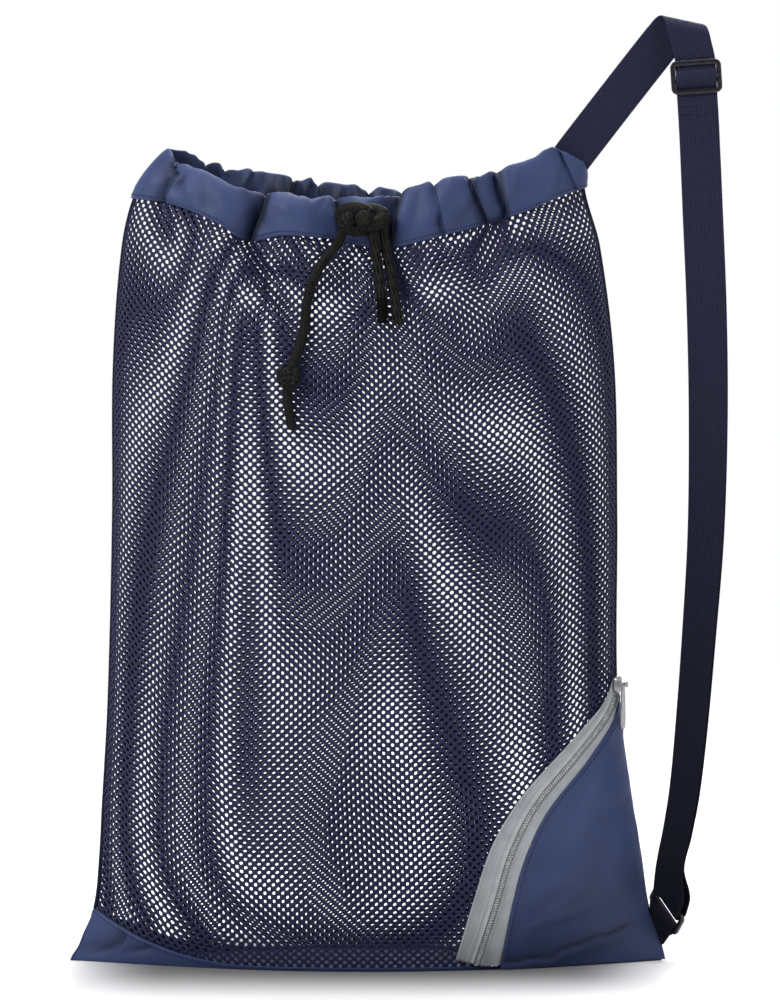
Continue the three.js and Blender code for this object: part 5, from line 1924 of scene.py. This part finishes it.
@dataclass
class Strap:
    """Webbing shoulder strap with its slider, lower loop and anchor tab."""

    form: BagForm
    finishes: Finishes
    width: float = 30 * MM
    thickness: float = 1.5 * MM
    edge: tuple[Span, ...] = ((-1.0, 0.35), (-0.98, 0.8))
    flat: float = 0.94
    flat_points: int = 12
    layers: float = 1.15 * MM
    turn_radius: float = 4.4 * MM
    turn_steps: int = 9
    approach: float = 6 * MM
    buckle_width: float = 38 * MM
    buckle_height: float = 24 * MM
    buckle_corner: float = 4 * MM
    bar_sides: int = 20
    ring_round: float = 0.55
    crossbar_round: float = 0.6
    slider_centre: Point = (0.245, -0.017, 0.6675)
    slider_tilt: float = math.radians(4)
    slider_height: float = 25.2 * MM
    slider_bar: float = 3.9 * MM
    slider_depth: float = 2.4 * MM
    loop_centre: Point = (0.2265, -0.0075, 0.041)
    loop_run: Point = (0.5, -0.5, -0.7)
    loop_lean: Point = (0.25, -0.69, 0.675)
    loop_bar: float = 4 * MM
    loop_depth: float = 3.4 * MM
    tab_z: float = 0.026
    tab_gap: float = 0.6 * MM
    tab_straight: float = 2 * MM
    tab_radius: float = 4.8 * MM
    tab_turn: Span = (math.radians(45), math.radians(290))
    fold_centre: Point = (0.2333, -0.0059, 0.70085)
    fold_radius: float = 8.4 * MM
    fold_slope: float = math.radians(12)
    fold_skew: float = math.radians(25.5)
    fold_steps: int = 13
    step: float = 2 * MM
    stitch_rows: Span = (22 * MM, 28 * MM)
    stitch_depths: Span = (2 * MM, 9 * MM)
    stitch_shift: float = 0.4 * MM
    stitch_reach: float = 0.42
    stitch_points: int = 12
    strap_cut: Cut = Cut(0.03, 1.42, Hold.HUNG, ("casing", "lower_loop"))
    tab_cut: Cut = Cut(0.03, 0.04, Hold.STRETCHED, ("lower_loop", "front_mesh"))

    def __post_init__(self) -> None:
        """Work out the directions of the loop and the slider."""
        self.loop_along = unit(np.array(self.loop_run))
        lean = np.array(self.loop_lean)
        self.loop_up = unit(lean - self.loop_along * lean.dot(self.loop_along))
        self.loop_face = np.cross(self.loop_along, self.loop_up)
        self.slider_along = np.array([math.cos(self.slider_tilt), 0, math.sin(self.slider_tilt)])
        self.slider_up = np.array([-math.sin(self.slider_tilt), 0, math.cos(self.slider_tilt)])

    @staticmethod
    def across(row: StrapRow) -> Array:
        """Direction across the strap at a row."""
        down, forward = np.radians(row.tilt), np.radians(row.turn)
        return np.array([np.cos(down) * np.cos(forward), -np.cos(down) * np.sin(forward), -np.sin(down)])

    def beside_bar(self, bar: int, through: float, up: float) -> Station:
        """Station beside the loop's upper (1) or lower (-1) bar, so far through its face and up it."""
        middle = bar * (self.buckle_height - self.loop_bar) / 2 + up
        return np.array(self.loop_centre) + self.loop_up * middle + self.loop_face * through, self.loop_along

    def bar_turn(self, bar: int, radius: float, angles: Span) -> list[Station]:
        """Stations of the webbing round one bar of the loop, between two angles."""
        turns = np.linspace(*angles, self.turn_steps)
        return [self.beside_bar(bar, radius * math.cos(a), -bar * radius * math.sin(a)) for a in turns]

    def at_slider(self, row: SliderRow) -> Station:
        """Station of the webbing at the slider."""
        middle = np.array(self.slider_centre) - self.slider_up * row.down
        return middle + np.array([0, row.behind, 0]), self.slider_along

    def layer(self, side: Side) -> list[Station]:
        """Stations of one layer between slider and loop.

        Args:
            side: The front or the back layer.

        Returns:
            The stations, downwards.
        """
        stations = []
        for row in STRAP_DROP:
            across = self.across(row)
            forward = unit(np.cross(across, UP))
            stations.append((np.array(row[:3]) - forward * side.value * self.layers, across))
        return stations

    def fold(self) -> list[Station]:
        """Stations of the fold over the strap's top, which the webbing crosses at a slant.

        Returns:
            The stations, from the back to the front.
        """
        along = np.array([math.cos(self.fold_slope), 0, -math.sin(self.fold_slope)])
        rise = np.array([math.sin(self.fold_slope), 0, math.cos(self.fold_slope)])
        stations = []
        for angle in np.linspace(0, math.pi, self.fold_steps):
            slip = self.fold_radius * math.tan(self.fold_skew) * (angle - math.pi / 2)
            middle = np.array(self.fold_centre) + along * slip + rise * self.fold_radius * math.sin(angle)
            middle[1] += self.fold_radius * math.cos(angle)
            stations.append((middle, along / math.cos(self.fold_skew)))
        return stations

    @staticmethod
    def squared(stations: Sequence[Station]) -> list[Station]:
        """The same stations with their directions across made square to the run."""
        runs = unit(np.gradient(np.array([middle for middle, _ in stations]), axis=0))
        return [(middle, unit(wide - run * wide.dot(run))) for (middle, wide), run in zip(stations, runs)]

    def stations(self) -> list[Station]:
        """Stations of the whole strap.

        Returns:
            The stations, from its sewn end to its returned end.
        """
        top = [(np.array(row[:3]), self.across(row)) for row in STRAP_TOP]
        drop = [
            *map(self.at_slider, STRAP_WEAVE),
            *self.layer(Side.FRONT),
            self.beside_bar(1, self.turn_radius, self.approach),
            *self.bar_turn(1, self.turn_radius, (0, math.pi)),
            self.beside_bar(1, -self.turn_radius, self.approach),
            *self.layer(Side.BACK)[::-1],
            *map(self.at_slider, STRAP_RETURN),
        ]
        return self.squared(top) + self.fold() + self.squared(drop)

    def tab_stations(self) -> list[Station]:
        """Stations of the anchor tab.

        Returns:
            The stations, from the seam round the loop's lower bar and back.
        """
        def seam(z: float) -> Array:
            """Point on the right seam at a height."""
            middle, half, _, _ = self.form.section(np.array(z))
            return np.array([float(middle + half), 0, z])

        across = unit(seam(self.tab_z - MM) - seam(self.tab_z + MM))
        outwards = np.array([-across[2], 0, across[0]])
        ends = []
        for side in Side:
            for distance in (self.tab_gap, self.tab_gap + self.tab_straight):
                middle = seam(self.tab_z) + outwards * distance
                ends.append((middle + np.array([0, side.value * self.layers, 0]), across))
        wrap = self.bar_turn(-1, self.tab_radius, self.tab_turn)
        return [ends[0], ends[1], *wrap, ends[3], ends[2]]

    def band(self, name: str, stations: Sequence[Station]) -> Piece:
        """Webbing through a row of stations.

        Args:
            name: Name of the piece.
            stations: Middles and directions across.

        Returns:
            The piece.
        """
        middles = np.array([middle for middle, _ in stations])
        sideways = np.array([across for _, across in stations])
        keys = lengths(middles)
        runs = np.linspace(0, keys[-1], round(keys[-1] / self.step) + 1)
        line = hermite(keys, middles, runs)
        across = hermite(keys, sideways, runs)
        along = unit(np.gradient(line, axis=0))
        face = unit(np.cross(along, across))
        place, thin = (np.array(values) for values in zip(*self.edge))
        inner = np.linspace(-self.flat, self.flat, self.flat_points)
        edge = np.concatenate([place, inner, -place[::-1]])
        thick = np.concatenate([thin, np.ones_like(inner), thin[::-1]])
        places = np.concatenate([edge, edge[::-1]])
        heights = np.concatenate([thick, -thick[::-1]])
        points = (
            line[:, None]
            + across[:, None] * (places * self.width / 2)[None, :, None]
            + face[:, None] * (heights * self.thickness / 2)[None, :, None]
        )
        sides = len(places)
        faces = grid_faces(len(line), sides, closed=True) + end_faces(len(line), sides)
        slant = np.sum(across * along, axis=1, keepdims=True)
        length = (runs / self.width)[:, None] + slant * places[None, :] / 2
        uv = np.stack(np.broadcast_arrays((places + 1)[None, :] / 2, length), axis=-1)
        return mesh_piece(name, points, faces, self.finishes.webbing, uv)

    def bar_section(self, bar: float, depth: float, rounding: float) -> Array:
        """Rounded section of a buckle's bar.

        Args:
            bar: Its width.
            depth: Its thickness.
            rounding: Power of its outline, 1 for an ellipse and less for flatter sides.

        Returns:
            Places across and through it.
        """
        turns = np.linspace(0, 2 * math.pi, self.bar_sides, endpoint=False)
        wave = np.stack([np.cos(turns), np.sin(turns)], axis=1)
        return np.sign(wave) * np.abs(wave) ** rounding * np.array([bar, depth]) / 2

    def ring(self, height: float, bar: float, depth: float) -> Solid:
        """Rounded rectangular frame of a buckle, flat about the origin.

        Args:
            height: Its height over both bars.
            bar: Width of its bars.
            depth: Its thickness.

        Returns:
            Points and faces.
        """
        corner = self.buckle_corner - bar / 4
        half = np.array([self.buckle_width - bar, height - bar]) / 2
        section = self.bar_section(bar, depth, self.ring_round)
        points = []
        for quarter, signs in enumerate(((1, 1), (-1, 1), (-1, -1), (1, -1))):
            middle = np.array(signs) * (half - corner)
            for angle in np.linspace(0, math.pi / 2, self.turn_steps) + quarter * math.pi / 2:
                outwards = np.array([math.cos(angle), math.sin(angle)])
                points += [(*(middle + outwards * (corner + wide)), high) for wide, high in section]
        rows = len(points) // self.bar_sides
        return np.array(points), grid_faces(rows, self.bar_sides, closed=True, looped=True)

    def crossbar(self) -> Solid:
        """Middle bar of the slider, flat about the origin.

        Returns:
            Points and faces.
        """
        places = np.linspace(-1, 1, self.turn_steps) * (self.buckle_width / 2 - self.slider_bar / 2)
        section = self.bar_section(self.loop_bar, self.slider_depth, self.crossbar_round)
        points = np.array([(x, *place) for x in places for place in section])
        faces = grid_faces(len(places), self.bar_sides, closed=True)
        return points, faces + end_faces(len(places), self.bar_sides)

    def buckle(self, name: str, parts: Sequence[Solid], axes: Sequence[Array], centre: Point) -> Piece:
        """Moulded buckle in its place, from flat parts drawn along some axes."""
        points, faces = joined(parts)
        return mesh_piece(name, points @ np.array(axes) + np.array(centre), faces, self.finishes.buckle)

    def build(self) -> None:
        """Make the strap's pieces and put them on the bag."""
        strap = self.band("strap_webbing", self.stations())
        enlist(strap, ["shoulder_strap"], cut=self.strap_cut)
        tab = self.band("tab_webbing", self.tab_stations())
        enlist(tab, ["anchor_tab"], cut=self.tab_cut)
        flat = [self.ring(self.slider_height, self.slider_bar, self.slider_depth), self.crossbar()]
        axes = (self.slider_along, self.slider_up, np.cross(self.slider_along, self.slider_up))
        enlist(self.buckle("slider_buckle", flat, axes, self.slider_centre), ["strap_slider"])
        flat = [self.ring(self.buckle_height, self.loop_bar, self.loop_depth)]
        axes = (self.loop_along, self.loop_up, self.loop_face)
        enlist(self.buckle("loop_buckle", flat, axes, self.loop_centre), ["lower_loop"])
        self.build_stitches()

    def build_stitches(self) -> None:
        """Sew the strap's returned end below the slider."""
        shares = np.linspace(-self.stitch_reach, self.stitch_reach, self.stitch_points)[:, None]
        lines = []
        for down in self.stitch_rows:
            middle = np.array(self.slider_centre) - self.slider_up * down
            for side, depth in zip(Side, self.stitch_depths):
                line = middle + self.slider_along * shares * self.width
                outwards = np.tile(np.array([0.0, side.value, 0.0]), (self.stitch_points, 1))
                lines.append((line + np.array([self.stitch_shift, depth, 0]), outwards))
        enlist(STITCH.build("strap_stitches", lines, self.finishes.dark_thread))


@dataclass
class DrawCord:
    """Braided draw cord: its knot, its tails and the stop knot."""

    form: BagForm
    finishes: Finishes
    diameter: float = 7.5 * MM
    sides: int = 28
    step: float = 0.38 * MM
    relief: float = 0.6 * MM
    crossing: float = 0.8
    seal: float = 16 * MM
    seal_run: float = 3 * MM
    tip_run: float = 0.35
    tip_round: float = 0.75
    steep: float = 0.9
    knot_points: int = 72
    knot_swing: float = 1.05
    cut_end: float = 6 * MM
    cut_end_at: Point = (-0.0022, -2.5 * MM, 0.5643)
    path_step: float = 1 * MM

    def tube(
        self, path: Array, radius: float, braid: Braid = Braid.CLOSE, sealed: float = 0, closed: bool = False
    ) -> Tube:
        """Braided tube along a path, its strands crossing over and under.

        Args:
            path: Points that it follows.
            radius: Its radius.
            braid: How its strands lie.
            sealed: Length of a smooth melted tip at its end.
            closed: Whether the path joins its own start.

        Returns:
            Points, faces and ridges.
        """
        line = smooth_path(np.concatenate([path, path[:1]]) if closed else path, self.step)
        line = line[:-1] if closed else line
        along = unit(np.roll(line, -1, 0) - np.roll(line, 1, 0) if closed else np.gradient(line, axis=0))
        normal = np.zeros_like(line)
        side = np.cross(along[0], UP if abs(along[0][2]) < self.steep else -np.array(FORWARDS))
        for place, direction in enumerate(along):
            side = unit(side - direction * side.dot(direction))
            normal[place] = side
        other = np.cross(along, normal)
        run = np.arange(len(line))[:, None] * self.step
        turn = np.linspace(0, 2 * math.pi, self.sides, endpoint=False)[None, :]
        strands, lay = braid.value
        lean = 2 * math.pi * run / lay
        over, under = (np.abs(np.cos(strands / 2 * turn + sign * lean)) for sign in (1, -1))
        ridges = np.maximum(over, self.crossing * under)
        left = run[-1, 0] - run
        rough = np.clip((left - sealed) / self.seal_run, 0, 1) if sealed else 1.0
        size = radius - self.relief * (1 - ridges) * rough
        if not closed:
            tip = np.clip(np.minimum(left, run) / (self.tip_run * radius), 0, 1)
            size = size * np.sqrt(1 - (1 - tip) ** 2 * self.tip_round)
        points = line[:, None] + size[..., None] * (
            normal[:, None] * np.cos(turn)[..., None] + other[:, None] * np.sin(turn)[..., None]
        )
        faces = grid_faces(len(line), self.sides, closed=True, looped=closed)
        if not closed:
            faces += end_faces(len(line), self.sides)
        return points.reshape(-1, 3), faces, (ridges * rough).ravel()

    def piece(self, name: str, tubes: Sequence[Tube]) -> Piece:
        """One piece from some tubes."""
        # The ridges become the mark, by which the finish paints highlights on the strands.
        ridge = np.concatenate([ridge for _, _, ridge in tubes])
        return mesh_piece(name, *joined([tube[:2] for tube in tubes]), self.finishes.cord, mark=ridge)

    def overhand(self, low: Array, high: Array, thickness: float, turn: float) -> Array:
        """Closed path of an overhand knot that fills a box.

        Args:
            low: The box's low corner.
            high: The box's high corner.
            thickness: Thickness of the cord.
            turn: Angle of the knot about the line of sight, in degrees.

        Returns:
            The path's points.
        """
        t = np.linspace(0, 2 * math.pi, self.knot_points, endpoint=False)
        wide = 2 + self.knot_swing * np.cos(3 * t)
        flat = np.stack([wide * np.cos(2 * t), np.sin(3 * t), wide * np.sin(2 * t)], axis=1)
        cos, sin = math.cos(math.radians(turn)), math.sin(math.radians(turn))
        turned = flat @ np.array([[cos, 0, sin], [0, 1, 0], [-sin, 0, cos]])
        reach = np.abs(turned).max(axis=0)
        room = (high - low - thickness) / 2
        return (low + high) / 2 + turned / reach * room

    def build_knots(self) -> list[Piece]:
        """Make the draw knot and the stop knot and put them on the bag.

        Returns:
            The two knots.
        """
        knots = []
        for knot in KNOTS:
            low, high = (np.array(corner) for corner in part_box(knot.node))
            low, high = low - np.array(knot.below), high + np.array(knot.above)
            radius = knot.share * self.diameter
            tubes = [self.tube(self.overhand(low, high, 2 * radius, knot.turn), radius, closed=True)]
            if knot.node == "draw_knot":
                front = np.array(self.cut_end_at) + np.array([0, low[1], 0])
                tubes.append(self.tube(front + np.array(CUT_END), self.cut_end))
            knots.append(enlist(self.piece(knot.node + "_cord", tubes), [knot.node]))
        return knots

    def build(self) -> None:
        radius = self.diameter / 2
        knots = self.build_knots()
        tails = (
            ("left_tail", LEFT_TAIL, ("draw_cord_left", "draw_cord_left_end"), Braid.CLOSE, 0.0, knots),
            ("right_tail", RIGHT_TAIL, ("draw_cord_right",), Braid.LONG, self.seal, []),
            ("short_tail", SHORT_TAIL, ("draw_cord_short",), Braid.LONG, 0.0, []),
        )
        for name, rows, nodes, braid, sealed, extras in tails:
            route = self.form.cord_points(rows, self.diameter)
            path = smooth_path(route, self.path_step)
            tube = self.tube(route, radius, braid, sealed)
            piece = enlist(self.piece(name, [tube]), nodes)


class Lamp(NamedTuple):
    """Soft lamp that faces the bag: its name, place, width and power."""

    name: str
    place: Point
    size: float
    power: float


LAMPS = (
    Lamp("key", (-1.5, -1.7, 1.9), 1.0, 62),
    Lamp("fill", (1.8, -1.6, 1.3), 1.4, 15),
    Lamp("top", (0.1, 0.3, 2.4), 1.2, 55),
    Lamp("rear", (0.5, 1.9, 1.5), 1.2, 30),
)


@dataclass(frozen=True)
class Studio:
    """Pale floor, soft lights and the camera at the photograph's angle."""

    floor_size: float = 30.0
    floor_colour: Colour = (0.86, 0.86, 0.87)
    floor_rough: float = 0.7
    glow: float = 1.0
    sky: float = 0.22
    sky_low: float = 0.12
    sky_high: float = 0.5
    near: float = 0.5
    far: float = 2.0
    # Painted shadow round the bag's foot: its darkest share, and where it ends across and in depth.
    shade: float = 0.22
    painted_shadow_width: Span = (0.15, 0.25)
    painted_shadow_depth: Span = (0.04, 0.18)
    frame_height: float = 0.75
    distance: float = 4.0
    elevation: float = math.radians(5)
    target: Point = (0.0173, -0.01, 0.351)
    sensor: float = 36.0
    card_distance: float = 6.5
    card_half: float = 9.0
    card_low: float = 0.01
    card_height: float = 6.0
    card_colour: Colour = (0.03, 0.03, 0.03)
    card_rough: float = 0.9

    def build(self) -> None:
        """Make the floor, the lights and the camera."""
        self.build_floor()
        self.build_card()
        self.build_world()
        for lamp in LAMPS:
            self.add_lamp(lamp)
        self.build_camera()

    def build_floor(self) -> None:
        """Make the floor, with a painted shadow round the bag's foot, which turns into the bright backdrop
        far from the bag.
        """
        half = self.floor_size / 2
        shader = Shader("studio_floor", self.floor_colour, self.floor_rough)
        # Painted shadow: the floor darkens softly round the bag's foot.
        fades = []
        for axis, (start, end) in (("X", self.painted_shadow_width), ("Y", self.painted_shadow_depth)):
            away = shader.math("ABSOLUTE", shader.axis(axis), 0.0)
            soft = {"interpolation_type": "SMOOTHSTEP"}
            fade = shader.node("ShaderNodeMapRange", soft, Value=away, From_Min=end, From_Max=start)
            fades.append(fade.outputs["Result"])
        shader.shade(shader.math("MULTIPLY", *fades), (1.0, self.shade), WHOLE)
        distance = shader.node("ShaderNodeVectorMath", {"operation": "LENGTH"})
        shader.feed(distance.inputs[0], shader.place["Object"])
        reach = {"From_Min": self.near, "From_Max": self.far}
        share = shader.node("ShaderNodeMapRange", Value=distance.outputs["Value"], **reach)
        glow = shader.node("ShaderNodeEmission", Color=(1, 1, 1, 1), Strength=self.glow)
        blend = shader.node("ShaderNodeMixShader", Fac=share.outputs["Result"])
        shader.feed(blend.inputs[1], shader.surface.outputs["BSDF"])
        shader.feed(blend.inputs[2], glow.outputs["Emission"])
        shader.feed(shader.tree.nodes["Material Output"].inputs["Surface"], blend.outputs["Shader"])
        corners = [(-half, -half, 0), (half, -half, 0), (half, half, 0), (-half, half, 0)]
        self.add_sheet("studio_floor", corners, shader.material)

    def build_card(self) -> None:
        """Stand a dark card behind the camera, which keeps the glow of the backdrop off the front."""
        half, y, low, top = self.card_half, -self.card_distance, self.card_low, self.card_height
        corners = [(-half, y, low), (half, y, low), (half, y, top), (-half, y, top)]
        material = Shader("studio_card", self.card_colour, self.card_rough).material
        self.add_sheet("studio_card", corners, material).visible_camera = False

    @staticmethod
    def add_sheet(name: str, corners: Sequence[Point], material: Material) -> Piece:
        """Add a flat sheet to the stage.

        Args:
            name: Name of the sheet.
            corners: Its four corners.
            material: Its finish.

        Returns:
            The sheet.
        """
        mesh = bpy.data.meshes.new(name)
        mesh.from_pydata(corners, [], [(0, 1, 2, 3)])
        mesh.materials.append(material)
        sheet = add_piece(name, mesh)
        return sheet

    def build_world(self) -> None:
        """Make the even light all round, and show colours as they are."""
        scene = bpy.context.scene
        scene.world = bpy.data.worlds.new("studio")
        scene.world.use_nodes = True
        world = Tree(scene.world.node_tree)
        place = world.node("ShaderNodeTexCoord").outputs["Generated"]
        height = world.node("ShaderNodeSeparateXYZ", Vector=place).outputs["Z"]
        reach = {"From_Min": self.sky_low, "From_Max": self.sky_high}
        light = {"To_Min": self.glow, "To_Max": self.sky}
        dimming = world.node("ShaderNodeMapRange", Value=height, **reach, **light)
        background = world.tree.nodes["Background"].inputs
        world.feed(background["Color"], (1, 1, 1, 1))
        world.feed(background["Strength"], dimming.outputs["Result"])
        scene.view_settings.view_transform = "Standard"

    def add_lamp(self, lamp: Lamp) -> None:
        """Hang one lamp.

        Args:
            lamp: The lamp.
        """
        light = bpy.data.lights.new(lamp.name, "AREA")
        light.size = lamp.size
        light.energy = lamp.power
        holder = bpy.data.objects.new(lamp.name, light)
        holder.location = lamp.place
        holder.visible_camera = False
        aim = Vector(self.target) - Vector(lamp.place)
        holder.rotation_euler = aim.to_track_quat("-Z", "Y").to_euler()
        bpy.context.scene.collection.objects.link(holder)

    def build_camera(self) -> None:
        """Set up the camera with a long lens."""
        data = bpy.data.cameras.new("camera")
        data.sensor_fit = "VERTICAL"
        data.sensor_height = self.sensor
        data.lens = self.sensor * self.distance / self.frame_height
        camera = bpy.data.objects.new("camera", data)
        back = Vector((0, -math.cos(self.elevation), math.sin(self.elevation))) * self.distance
        camera.location = Vector(self.target) + back
        camera.rotation_euler = (-back).to_track_quat("-Z", "Y").to_euler()
        bpy.context.scene.collection.objects.link(camera)
        bpy.context.scene.camera = camera


def main() -> None:
    """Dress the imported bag, piece by piece, and note its size."""
    logging.basicConfig(level=logging.INFO, format="%(message)s")
    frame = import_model()
    Studio().build()
    solids = BagForm()
    cloth = BagForm(creases=CREASES)
    finishes = Finishes()
    DrawCord(solids, finishes).build()
    for side in Side:
        Net(cloth, side, finishes.net).build()
    SideSeams(solids, finishes.dark_thread).build()
    Casing(cloth, finishes).build()
    Base(solids, finishes).build()
    Pocket(solids, finishes, frame).build()
    Strap(solids, finishes).build()


if __name__ == "__main__":
    main()
